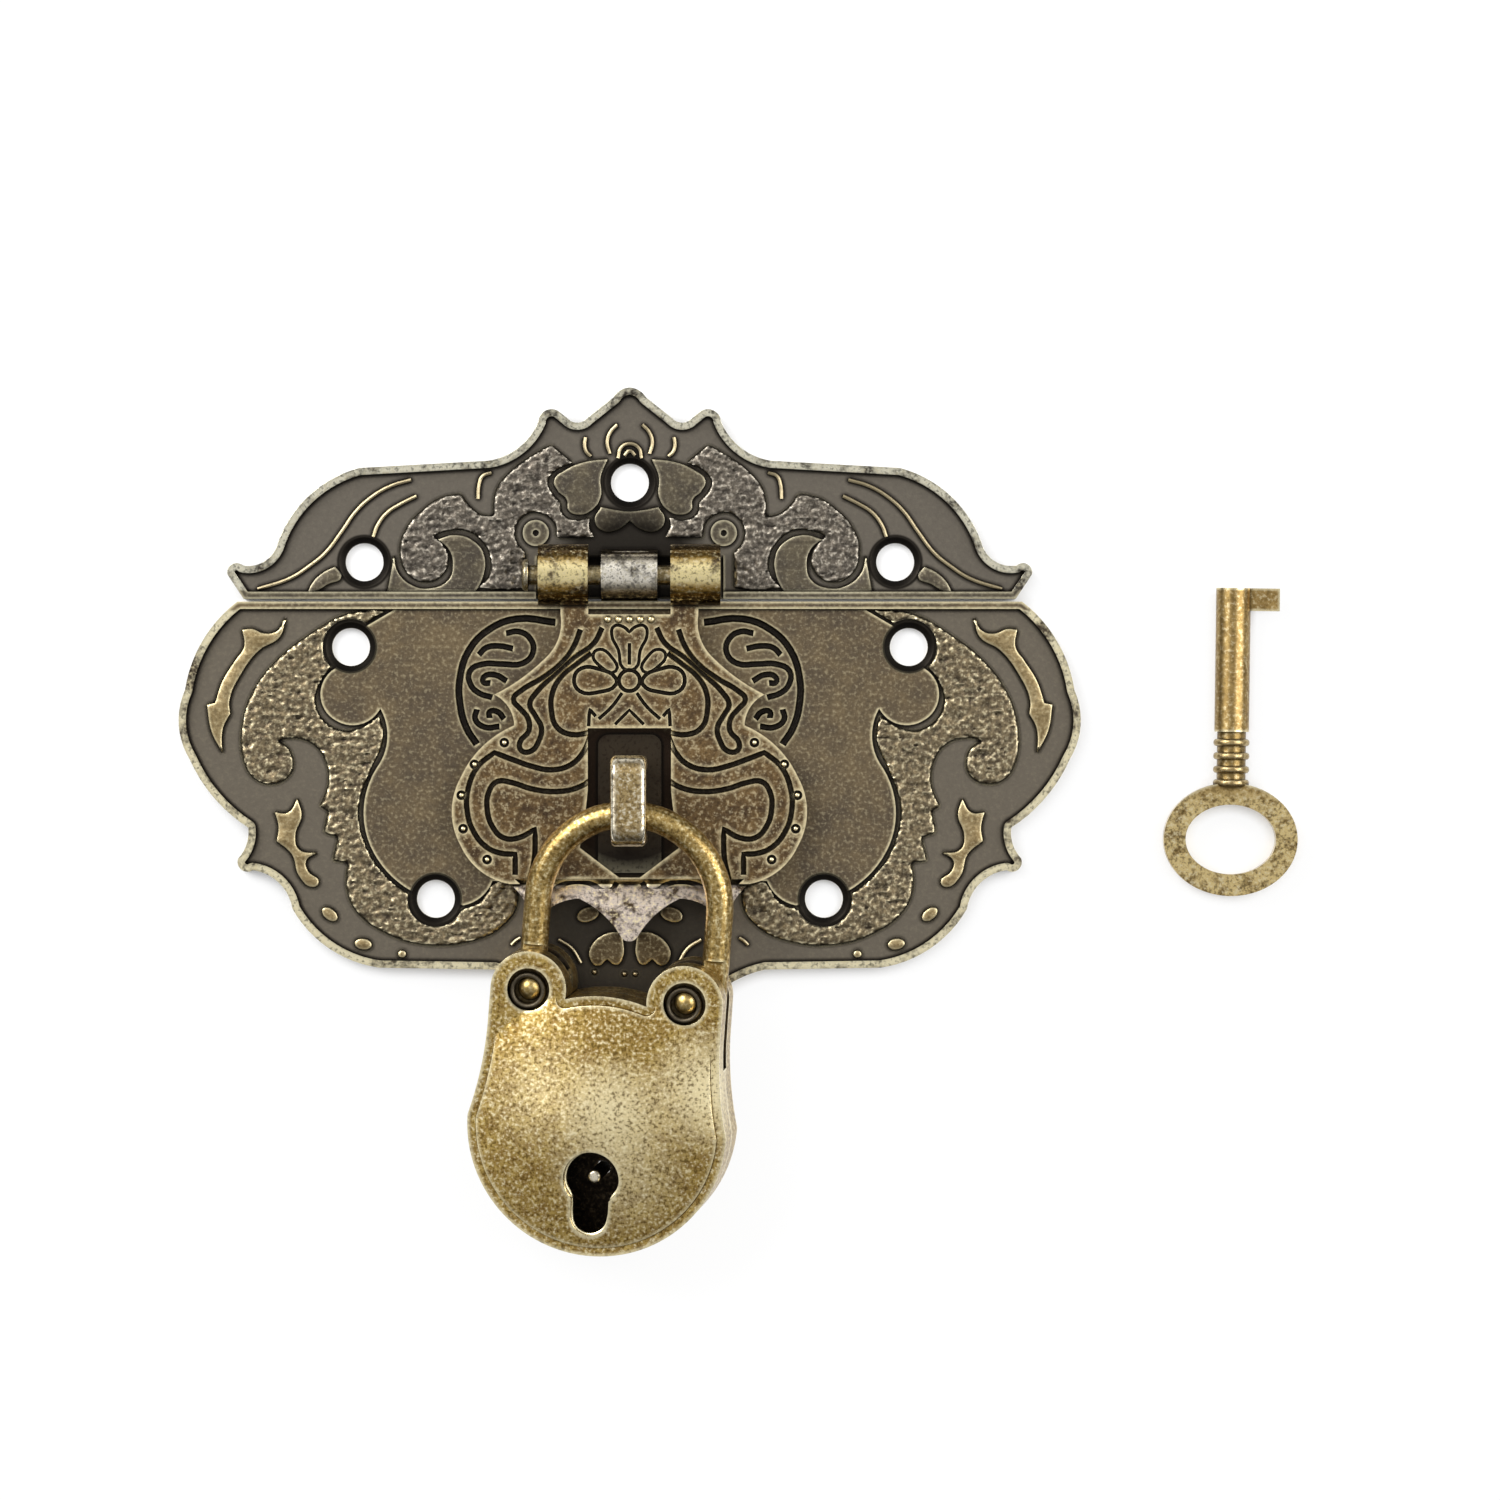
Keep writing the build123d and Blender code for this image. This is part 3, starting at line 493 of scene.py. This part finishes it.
flow = [[(-5.4, -3.1), (-6.1, -4.9), (-7.5, -6.8), (-9.7, -8.5), (-12.0, -9.9), (-12.8, -10.8),
         (-12.0, -11.9), (-11.2, -12.9), (-11.1, -14.3), (-12.1, -15.6), (-11.9, -16.5), (-10.8, -16.5),
         (-10.0, -15.4), (-9.7, -14.0), (-10.4, -12.6), (-11.0, -11.4), (-10.3, -10.1), (-8.0, -7.9),
         (-6.1, -6.2), (-3.9, -4.6), (-3.0, -2.9)],
        [(-4.2, -5.7), (-5.8, -6.9), (-7.5, -8.3), (-8.5, -10.1), (-8.6, -12.1), (-8.0, -13.9),
         (-6.4, -14.7), (-4.0, -14.4)]]
lobes = [[(-12.6, -30.2), (-12.6, -27.9, 1), (-14.2, -27.8), (-15.8, -27.1), (-17.2, -25.4),
          (-17.9, -23.2), (-17.8, -20.7), (-16.7, -18.2), (-14.9, -16.7, 1), (-12.8, -17.5),
          (-10.8, -18.2), (-8.6, -18.6), (-6.4, -18.0), (-5.0, -16.5), (-4.3, -14.9)],
         [(-4.0, -19.6), (-5.8, -20.6), (-8.0, -21.0), (-10.8, -20.7), (-13.0, -20.0), (-14.6, -19.9),
          (-15.5, -21.0), (-15.7, -22.9), (-15.1, -24.9), (-13.9, -26.1), (-12.2, -26.1),
          (-10.4, -25.1, 1), (-10.5, -28.5), (-11.1, -31.0)]]
side_petal = [(-1.5, -8.5), (-3.3, -7.5), (-5.3, -7.4), (-6.1, -8.5), (-5.5, -9.9), (-3.3, -10.0),
              (-1.5, -9.2)]
small_petal = [(-1.5, -7.7), (-2.1, -6.0), (-3.3, -5.3), (-4.0, -5.9), (-3.4, -7.0)]
top_petal = [(-0.65, -7.4), (-1.2, -5.4), (-1.95, -3.7), (-1.7, -2.75), (-0.7, -2.8), (0, -3.4, 1),
             (0.7, -2.8), (1.7, -2.75), (1.95, -3.7), (1.2, -5.4), (0.65, -7.4)]
vein = [[(0, -4.6), (0, -7.0)]]
stems = [[(-0.8, -10.1), (-1.9, -11.6), (-3.4, -13.0)], [(-4.5, -13.8), (-4.4, -11.9, 1), (-3.7, -12.7)],
         [(-1.6, -13.6), (0, -12.0, 1), (1.6, -13.6)]]
flower_heart = (0, -8.75)
studs = [(-13.8, -15.6), (-17.1, -18.0), (-18.55, -21.4), (-18.35, -25.1), (-15.7, -28.5)]
stud_places = studs + [(-x, y) for x, y in studs]
brow_beads = [(-2.4 + 1.2 * k, -2.0) for k in range(5)]
moustache = [[(-8.4, -31.9), (-7.2, -31.2), (-5.6, -30.9), (-4.2, -31.2), (-3.0, -31.9), (-1.9, -31.8),
              (-1.4, -31.0)]]
stud_well_r = 0.55
stud_floor = hasp_face - 0.25
stud_r = 0.36
stud_height = 0.34
brow_bead_r = 0.42
brow_bead_height = 0.35
filled_end = hasp_fold + 0.5

hasp = cast_from("hasp_plate", hasp_metal)
select_only(hasp)
bpy.ops.object.mode_set(mode="EDIT")
bpy.ops.mesh.select_all(action="SELECT")
bpy.ops.mesh.bisect(plane_co=(0, filled_end * mm, 0), plane_no=(0, 1, 0))
bpy.ops.object.mode_set(mode="OBJECT")
# The solid's sunken ground comes up flush with its rim, down to just above the fold.
for spot in hasp.data.vertices:
    if abs(spot.co.z - hasp_ground * mm) < 0.01 * mm and (filled_end - 0.1) * mm < spot.co.y < 0:
        spot.co.z = hasp_face * mm
merged(hasp)
engrave(hasp, hasp_face,
        (mirrored(flow + lobes), 0.66, 0.33, False),
        (mirrored([side_petal]), 0.5, 0.28, True),
        (mirrored([small_petal]) + [top_petal], 0.42, 0.25, True),
        ([oval(*flower_heart, 1.15, 1.15)], 0.5, 0.28, True),
        (vein + mirrored(stems[:2]), 0.44, 0.25, False),
        (stems[2:], 0.4, 0.22, False))
engrave(hasp, hasp_ground, (mirrored(moustache), 0.8, 0.8, False))
cut_by(hasp, rods(stud_places, stud_well_r, stud_floor, hasp_face + 1))
soften(hasp, 0.08, sharpest=40)
stud_beads = with_metal(beads(stud_places, stud_floor, stud_r, stud_height), hasp_metal)
row_beads = with_metal(beads(brow_beads, hasp_face, brow_bead_r, brow_bead_height), hasp_metal)
hasp = joined(hasp, [stud_beads, row_beads])
hung(hasp, "hasp_plate", "box_side")


# The hinge pin. A steel wire with a bronze wash, headed at one end and pushed through all three
# knuckles, and tumbled with the rest.
pin_metal = antique_metal("tumbled_steel_pin", patina="#2b261e", body="#a99b76", shadow="#7d6e4c",
                          rubbed="#e6dfca", roughness=0.3)
pin = soften(cast_from("hinge_pin", pin_metal), 0.12)
hung(pin, "hinge_pin", "box_side")


# The upper plate. The lower plate's fellow for the lid, a zinc casting with the middle knuckle on
# it and held by three screws. Its ornament is a winged bug between two beaten scrolls. Its patina
# is greyer than the lower plate's, and its knuckle is rubbed to bare zinc. The knuckle also has a
# painted highlight along its middle and painted shade on its underside and top, and the plate is
# painted dark under the knuckles as shade.
high_screws = [(-29.4, 4.4), (29.4, 4.4), (0, 13.2)]
eye_top = 1.8
knuckle = ("Z", 2.7, 3.4)
shade_under_knuckle = ((0, 3, -12), 15, 16.4)
# Painted shade: the trough under the knuckles is blackened as shade, and the knuckle gets a painted
# highlight band and painted shade on its underside and top; the countersinks get dark rings.
upper_metal = antique_metal("antique_bronze_on_zinc_upper", patina=patina_black, body="#5f5748",
                            shadow="#4b453d", rubbed="#bdb498", roughness=0.46, mottle=3.0, speckle=0.22,
                            levels=("#645e55", (ground + 0.05, ground + 0.1),
                                    (eye_top - 0.14, eye_top - 0.05)),
                            dark_rings_and_shade=[(*shade_under_knuckle, 0.9, patina_black)]
                            + [((x, y, ground), *countersink, 0.95, patina_black) for x, y in high_screws],
                            zones=[("#d5d0bb", rubbed_rim, ("Y", 1.15, 1.45)), ("#c6baa4", knuckle),
                                   ("#faf3e4", ("Z", 6.2, 6.8), ("Y", 1.4, 2.3), ("Y", 4.8, 3.9)),
                                   ("#3f382f", knuckle, ("Y", 1.3, 0.5)),
                                   ("#6b6052", knuckle, ("Y", 4.7, 5.4))])
upper_beaten = antique_metal("beaten_bronze_upper", patina="#322e2a", body="#6d655a", shadow="#514b44",
                             rubbed="#cfc6b5", roughness=0.42, corner=0.4, edge=0.3, fleck=0.5, mottle=0.8,
                             speckle=0.6, levels=("#322e2a", all_black, (1.8, 2.05)))
high_band = [(-18.7, 11.9, 1), (-21.0, 11.4), (-22.9, 10.1), (-24.6, 8.2), (-25.4, 5.6), (-24.6, 3.2),
             (-22.6, 2.2), (-20.6, 3.2), (-20.1, 5.0), (-20.8, 6.4), (-21.9, 7.3, 1), (-20.2, 7.9),
             (-18.0, 7.9), (-16.3, 6.7), (-15.4, 4.9), (-15.6, 2.8), (-16.7, 1.6, 1), (-14.4, 1.3),
             (-11.6, 1.5, 1), (-11.6, 5.4, 1), (-12.5, 6.5), (-12.7, 8.1), (-11.5, 9.7), (-9.7, 9.8),
             (-8.2, 8.5), (-8.1, 7.2, 1), (-5.6, 7.1), (-3.9, 7.2, 1), (-4.5, 8.4), (-4.3, 9.4, 1),
             (-5.7, 9.0), (-7.4, 9.6), (-7.7, 11.0, 1), (-8.6, 12.0), (-9.1, 13.2), (-8.4, 14.4),
             (-6.4, 15.4, 1), (-8.7, 17.3, 1), (-11.0, 16.0), (-12.9, 14.6), (-14.6, 12.6),
             (-15.0, 11.0), (-15.0, 9.4, 1), (-16.5, 9.6), (-17.9, 10.7)]
high_field = [(-26.9, 0.8, 1), (-26.1, 5.1, 1), (-25.6, 3.2), (-24.0, 1.8), (-22.1, 1.5), (-20.1, 2.4),
              (-19.6, 4.0), (-20.0, 5.7), (-21.3, 6.9, 1), (-19.3, 7.4), (-17.1, 6.6), (-16.1, 5.1),
              (-16.2, 2.8), (-17.2, 0.8, 1)]
wing_tail = [(-35.7, 0.9, 1), (-35.2, 2.0), (-34.0, 3.2), (-32.6, 3.9, 1), (-31.9, 2.7), (-33.4, 1.9),
             (-34.9, 0.9, 1)]
bug_wing = [(-2.4, 15.8, 1), (-4.9, 15.5), (-7.1, 14.6), (-8.4, 13.4), (-7.9, 12.1, 1), (-7.0, 11.3),
            (-6.8, 10.1), (-5.7, 9.6), (-4.2, 10.1), (-3.2, 11.6), (-3.2, 13.8)]
bug_tail = [(-3.2, 10.5, 1), (-3.9, 9.0), (-3.0, 7.8), (-1.4, 7.9), (0, 8.9, 1), (1.4, 7.9), (3.0, 7.8),
            (3.9, 9.0), (3.2, 10.5, 1), (1.7, 10.2), (0, 10.0), (-1.7, 10.2)]
long_ribs = [[(-24.2, 13.5), (-26.5, 12.8), (-28.7, 11.5), (-30.4, 9.9), (-31.8, 7.9), (-33.7, 5.4),
              (-35.4, 4.0), (-37.6, 2.6), (-41.2, 1.4)],
             [(-23.6, 11.7), (-25.4, 10.8), (-26.8, 9.9), (-27.9, 8.5), (-28.4, 7.2)],
             [(-15.3, 14.3), (-16.3, 13.9), (-16.7, 12.9), (-16.8, 11.4)],
             [(-1.4, 19.6), (-2.2, 18.7), (-2.5, 17.6), (-2.2, 16.4)],
             [(-4.9, 18.2), (-5.0, 17.3), (-4.8, 16.6), (-4.3, 16.1)]]
bug_head = [[(-1.3, 15.9), (-1.0, 17.0), (0, 17.5), (1.0, 17.0), (1.3, 15.9)],
            [(-0.6, 16.2), (0, 16.7), (0.6, 16.2)]]
high_rib_width = 0.44
eyes = [(-10.4, 7.6), (10.4, 7.6)]
eye_bore_r = 0.35

upper = cast_from("upper_plate", upper_metal)
cut_by(upper, rods(eyes, eye_bore_r, ground, field_top + 1))
soften(upper, 0.1)
high_relief = raised(mirrored([high_field, wing_tail, bug_wing]) + [bug_tail], relief_foot, island_top)
high_ribs = ribs(mirrored(long_ribs) + bug_head, ground + high_rib_width / 2, high_rib_width)
with_metal(high_relief, upper_metal)
with_metal(high_ribs, rib_metal)
high_patch = hammered(mirrored([high_band]), band_foot, band_top, dent_depth, high_screws, screw_ring)
with_metal(high_patch, upper_beaten)
upper = joined(upper, [high_relief, high_ribs, high_patch])
hung(upper, "upper_plate", "lid_side")


# The shackle. Brass bar bent to a ring and threaded through the staple; one end swings on a
# rivet in the case, and the other has the notch that the bolt enters.
shackle_metal = antique_metal("antique_brass_shackle", patina="#4d3c1f", body="#a88f58", shadow="#8a713f",
                              rubbed="#ecdeb0", roughness=0.34, fleck=0.4, mottle=1.0, speckle=0.7)
shackle = soften(cast_from("shackle", shackle_metal), 0.12)
hung(shackle, "shackle", "shackle")


# The padlock's case. Two shells of die-cast brass, closed on each other by rivets through their
# round lobes. The front one swells slightly inside its rim and has a raised lip round the keyhole.
# Tumbling has left both speckled all over. The front face has painted highlights across its
# swelling and round the keyhole and painted shade over its top, and the back one's floor inside is
# painted near black as painted shade.
axes = {joint["name"]: Vector(joint["axis"]) for joint in frame["joints"]}
case_out = -axes["shackle_pivot"]
case_right = axes["bolt_throw"]
rivet_head = 1.0


def well_floor(rivet):
    """The middle of the well's floor round a rivet's head, in mm."""
    low, high = (Vector(corner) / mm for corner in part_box(rivet))
    return (low + high) / 2 + case_out * ((high.z - low.z) / 2 - rivet_head)


wells = [well_floor(name) for name in ("shackle_rivet", "lobe_rivet")]
well_depth = 1.3


def on_face(x, y):
    """The point of the case's flat face over x, y, in mm."""
    corner = wells[0] + case_out * well_depth
    return (x, y, corner.z - (case_out.x * (x - corner.x) + case_out.y * (y - corner.y)) / case_out.z)


well_ring_black = "#1a1511"
painted_highlight = "#f3e3b4"
# Painted light: the spots paint highlights across the swelling face and round the keyhole, and painted shade
# over the face's top; the rivet wells get dark rings.
case_metal = antique_metal("tumbled_brass_case", patina="#54401c", body="#bb9f5a", shadow="#927540",
                           rubbed="#fbeec4", roughness=0.34, corner=0.15, edge=0.5, fleck=0.38, mottle=1.1,
                           speckle=0.75,
                           painted_light_spots=[(on_face(-1.0, -45.5), 1.0, 7.5, 0.7, "#8a6f38"),
                                   (on_face(-1.0, -61.5), 2.0, 8.5, 0.5, painted_highlight),
                                   (on_face(-9.0, -54.2), 1.0, 7.5, 0.35, painted_highlight),
                                   (on_face(-1.5, -55.6), 1.0, 6.5, 0.95, painted_highlight),
                                   (on_face(8.8, -53.6), 1.0, 7.5, 0.95, painted_highlight)],
                           dark_rings_and_shade=[(well, 2.3, 2.6, 0.95, well_ring_black) for well in wells])
# Each swelling is its middle, spread and height in mm, on a face cut into a grid of this pitch.
swells = [((0.5, -61.0), 7.0, 0.35), ((-8.0, -58.5), 3.6, 0.4), ((8.6, -58.0), 3.6, 0.45)]
grid = 1.2
keyhole_r = 3.1
foot_r = 2.1
foot_v = -4.2
lip_r = 0.24
head_turn = range(-42, 223, 24)
foot_turn = range(180, 361, 30)
head = [(keyhole_r * cos(radians(a)), keyhole_r * sin(radians(a))) for a in head_turn]
foot = [(foot_r * cos(radians(a)), foot_v + foot_r * sin(radians(a))) for a in foot_turn]
lip_line = drawn("lip", [head + foot], dimensions="3D", fill_mode="FULL", bevel_depth=lip_r * mm,
                 bevel_resolution=2, resolution_u=4)
lip = with_metal(as_mesh(lip_line, 0), case_metal)
pin_low, pin_high = (Vector(corner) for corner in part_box("drill_pin"))
axis_point = (pin_low + pin_high) / 2
face_point = Vector(on_face(-10, -55)) * mm
lip.matrix_world = (Matrix.Translation(axis_point + case_out * (face_point - axis_point).dot(case_out))
                    @ Matrix((case_right, case_out.cross(case_right), case_out)).transposed().to_4x4())
select_only(lip)
bpy.ops.object.transform_apply(location=True, rotation=True, scale=True)
front = joined(soften(cast_from("padlock_front_shell", case_metal), 0.25, 3), [lip])
low, high = (Vector(corner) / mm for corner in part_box("padlock_front_shell"))
select_only(front)
bpy.ops.object.mode_set(mode="EDIT")
for axis in (0, 1):
    across = [0, 0, 0]
    across[axis] = 1
    for step in range(1, int((high - low)[axis] / grid)):
        place = list(low * mm)
        place[axis] += step * grid * mm
        bpy.ops.mesh.select_all(action="SELECT")
        bpy.ops.mesh.bisect(plane_co=place, plane_no=across)
bpy.ops.object.mode_set(mode="OBJECT")
outward = [spot.co.dot(case_out) for spot in front.data.vertices]
inner, outer = min(outward), max(outward)
for spot, level in zip(front.data.vertices, outward):
    swelling = sum(height * exp(-((spot.co.x / mm - x) ** 2 + (spot.co.y / mm - y) ** 2) / (2 * spread ** 2))
                   for (x, y), spread, height in swells)
    spot.co += case_out * swelling * mm * (level - inner) / (outer - inner)
hung(front, "padlock_front_shell", "padlock")

# Painted shade: the floor inside the back shell, seen through the keyhole, is painted near black.
painted_shade_lining = antique_metal("shaded_brass_lining", patina="#0d0b0a", body="#2c2620", shadow="#211c18",
                       rubbed="#574c3d", roughness=0.5)
inside_depth = 1.5
back =soften(cast_from("padlock_back_shell", case_metal), 0.2)
back.data.materials.append(painted_shade_lining)
rim_level = max(spot.co.dot(case_out) for spot in back.data.vertices)
for face in back.data.polygons:
    if face.normal.dot(case_out) > 0.5 and face.center.dot(case_out) < rim_level - inside_depth * mm:
        face.material_index = 1
hung(back, "padlock_back_shell", "padlock")


# The rivets. Brass, domed by a set, one through each lobe, on a dull bronze flange in its well. The
# left one carries the shackle.
rivet_metal = antique_metal("domed_brass_rivet", patina="#4a3b1f", body="#b39a5e", shadow="#8d7546",
                            rubbed="#efe2b6", roughness=0.32, corner=0.15, speckle=0.4)
flange_metal = antique_metal("dull_bronze_flange", patina="#141211", body="#4d463b", shadow="#3b352c",
                             rubbed="#6f6655", roughness=0.5, corner=0.1, speckle=0.2)
flange_r = 1.75
flange_wire = 0.32
for name, well in zip(("shackle_rivet", "lobe_rivet"), wells):
    rivet = soften(cast_from(name, rivet_metal), 0.1)
    bpy.ops.object.select_all(action="DESELECT")
    bpy.ops.mesh.primitive_torus_add(major_radius=flange_r * mm, minor_radius=flange_wire * mm,
                                     major_segments=48, minor_segments=10,
                                     location=(well + case_out * flange_wire) * mm,
                                     rotation=case_out.to_track_quat("Z", "Y").to_euler())
    flange = with_metal(bpy.context.object, flange_metal)
    bpy.ops.object.transform_apply(location=True, rotation=True, scale=True)
    hung(joined(rivet, [flange]), name, "padlock")


# The works behind the keyhole: the pin that the key's barrel slides on, the bolt and its spring,
# all plain steel stampings, dull and oily, with a painted highlight on the pin's rounded tip.
pin_tip_highlight = ("Z", 9.15, 9.35)
works_metal = antique_metal("oily_steel_works", patina="#0f0e0e", body="#4c4846", shadow="#363332",
                            rubbed="#8d8882", roughness=0.4, speckle=0.2, zones=[("#e8dfc8", pin_tip_highlight)])
drill_pin = soften(cast_from("drill_pin", works_metal), 0.35, 3)
hung(drill_pin, "drill_pin", "padlock")
for name in ("lock_bolt", "bolt_spring"):
    frame["nodes"][name].data.materials.clear()
    frame["nodes"][name].data.materials.append(works_metal)


# The key. Die-cast brass with a hollow barrel, a small bit, four turned collars and an oval bow,
# whose flat face is painted lighter than the shaft as painted light.
# Painted light: the bow is painted lighter to stand for the light on its flat face.
bow = ("Y", -20.5, -22.5)
key_metal = antique_metal("antique_brass_key", patina="#4d3f24", body="#a08653", shadow="#846c41",
                          rubbed="#e9dcb4", roughness=0.35, edge=0.35, fleck=0.4, mottle=1.2, speckle=0.4,
                          zones=[("#dcc48a", bow)])
key = soften(cast_from("key", key_metal), 0.18, 3)
hung(key, "key", "key")


# The studio: a white table under the set, open shade from above, and two soft boxes whose
# light slides along every raised edge.
table_size = 2000 * mm
bpy.ops.object.select_all(action="DESELECT")
bpy.ops.mesh.primitive_plane_add(size=table_size, location=(0, 0, 0))
table = bpy.context.object
table.name = "white_table"
paper = bpy.data.materials.new("white_paper")
paper.use_nodes = True
ray = add_node(paper, "ShaderNodeLightPath", output="Is Camera Ray")
mirror_ray = add_node(paper, "ShaderNodeLightPath", output="Is Glossy Ray")
seen = add_node(paper, "ShaderNodeMath", {"operation": "MAXIMUM"}, {0: ray, 1: mirror_ray})
# Painted shade: the table's glow fades within a millimetre or two of the pieces, so narrow gaps between them
# stay dark.
open_air = add_node(paper, "ShaderNodeAmbientOcclusion", {"samples": 8}, {"Distance": 1.5 * mm}, "AO")
share = product(paper, product(paper, seen, 0.9), product(paper, open_air, open_air))
glow = add_node(paper, "ShaderNodeEmission", None, {"Color": linear("#ffffff"), "Strength": 1.0})
sheet = add_node(paper, "ShaderNodeBsdfDiffuse", None, {"Color": linear("#f6f6f6")})
mixed = add_node(paper, "ShaderNodeMixShader", None, {0: share, 1: sheet, 2: glow})
paper.node_tree.links.new(mixed, paper.node_tree.nodes["Material Output"].inputs["Surface"])
table.data.materials.append(paper)

world = bpy.data.worlds.new("studio")
bpy.context.scene.world = world
world.use_nodes = True
sky = world.node_tree.nodes["Background"]
aim = add_node(world, "ShaderNodeTexCoord", output="Generated")
rise = add_node(world, "ShaderNodeSeparateXYZ", None, {0: aim}, "Z")
forward = add_node(world, "ShaderNodeSeparateXYZ", None, {0: aim}, "Y")
ramp = world.node_tree.nodes.new("ShaderNodeValToRGB")
stops = [(0.0, "#404040"), (0.3, "#a0a0a0"), (0.55, "#f4f4f4"), (0.85, "#f0f0f0"), (1.0, "#d0d0d0")]
while len(ramp.color_ramp.elements) < len(stops):
    ramp.color_ramp.elements.new(0.5)
for element, (place, colour) in zip(ramp.color_ramp.elements, stops):
    element.position = place
    element.color = linear(colour)
world.node_tree.links.new(rise, ramp.inputs["Fac"])
world.node_tree.links.new(ramp.outputs["Color"], sky.inputs["Color"])
world.node_tree.links.new(between(world, forward, -0.95, -0.1, 0.2, 1.05), sky.inputs["Strength"])

soft_boxes = (("left_soft_box", (-0.45, 0.35, 0.5), 6.0), ("right_soft_box", (0.5, 0.1, 0.45), 3.0))
soft_box_size = 0.5
for name, place, power in soft_boxes:
    lamp = bpy.data.lights.new(name, "AREA")
    lamp.size = soft_box_size
    lamp.energy = power
    holder = bpy.data.objects.new(name, lamp)
    holder.location = place
    holder.rotation_mode = "QUATERNION"
    holder.rotation_quaternion = Vector(place).to_track_quat("Z", "Y")
    bpy.context.scene.collection.objects.link(holder)


# The camera. It looks straight down, as the photograph does, and takes in the photograph's frame,
# where the middle of the lower plate's top edge is at the pixel photo_origin.
photo_side = 1500
photo_pixel = 0.1109 * mm
photo_origin = (630, 602)
middle_x = (photo_side / 2 - photo_origin[0]) * photo_pixel
middle_y = -(photo_side / 2 - photo_origin[1]) * photo_pixel
camera_height = 900 * mm
sensor = 36.0
camera_data = bpy.data.cameras.new("camera")
camera_data.sensor_width = sensor
camera_data.lens = sensor * camera_height / (photo_side * photo_pixel)
camera_data.clip_start = 0.05
camera_data.clip_end = 10.0
camera = bpy.data.objects.new("camera", camera_data)
camera.location = (middle_x, middle_y, camera_height)
bpy.context.scene.collection.objects.link(camera)
bpy.context.scene.camera = camera
bpy.context.scene.view_settings.view_transform = "Standard"
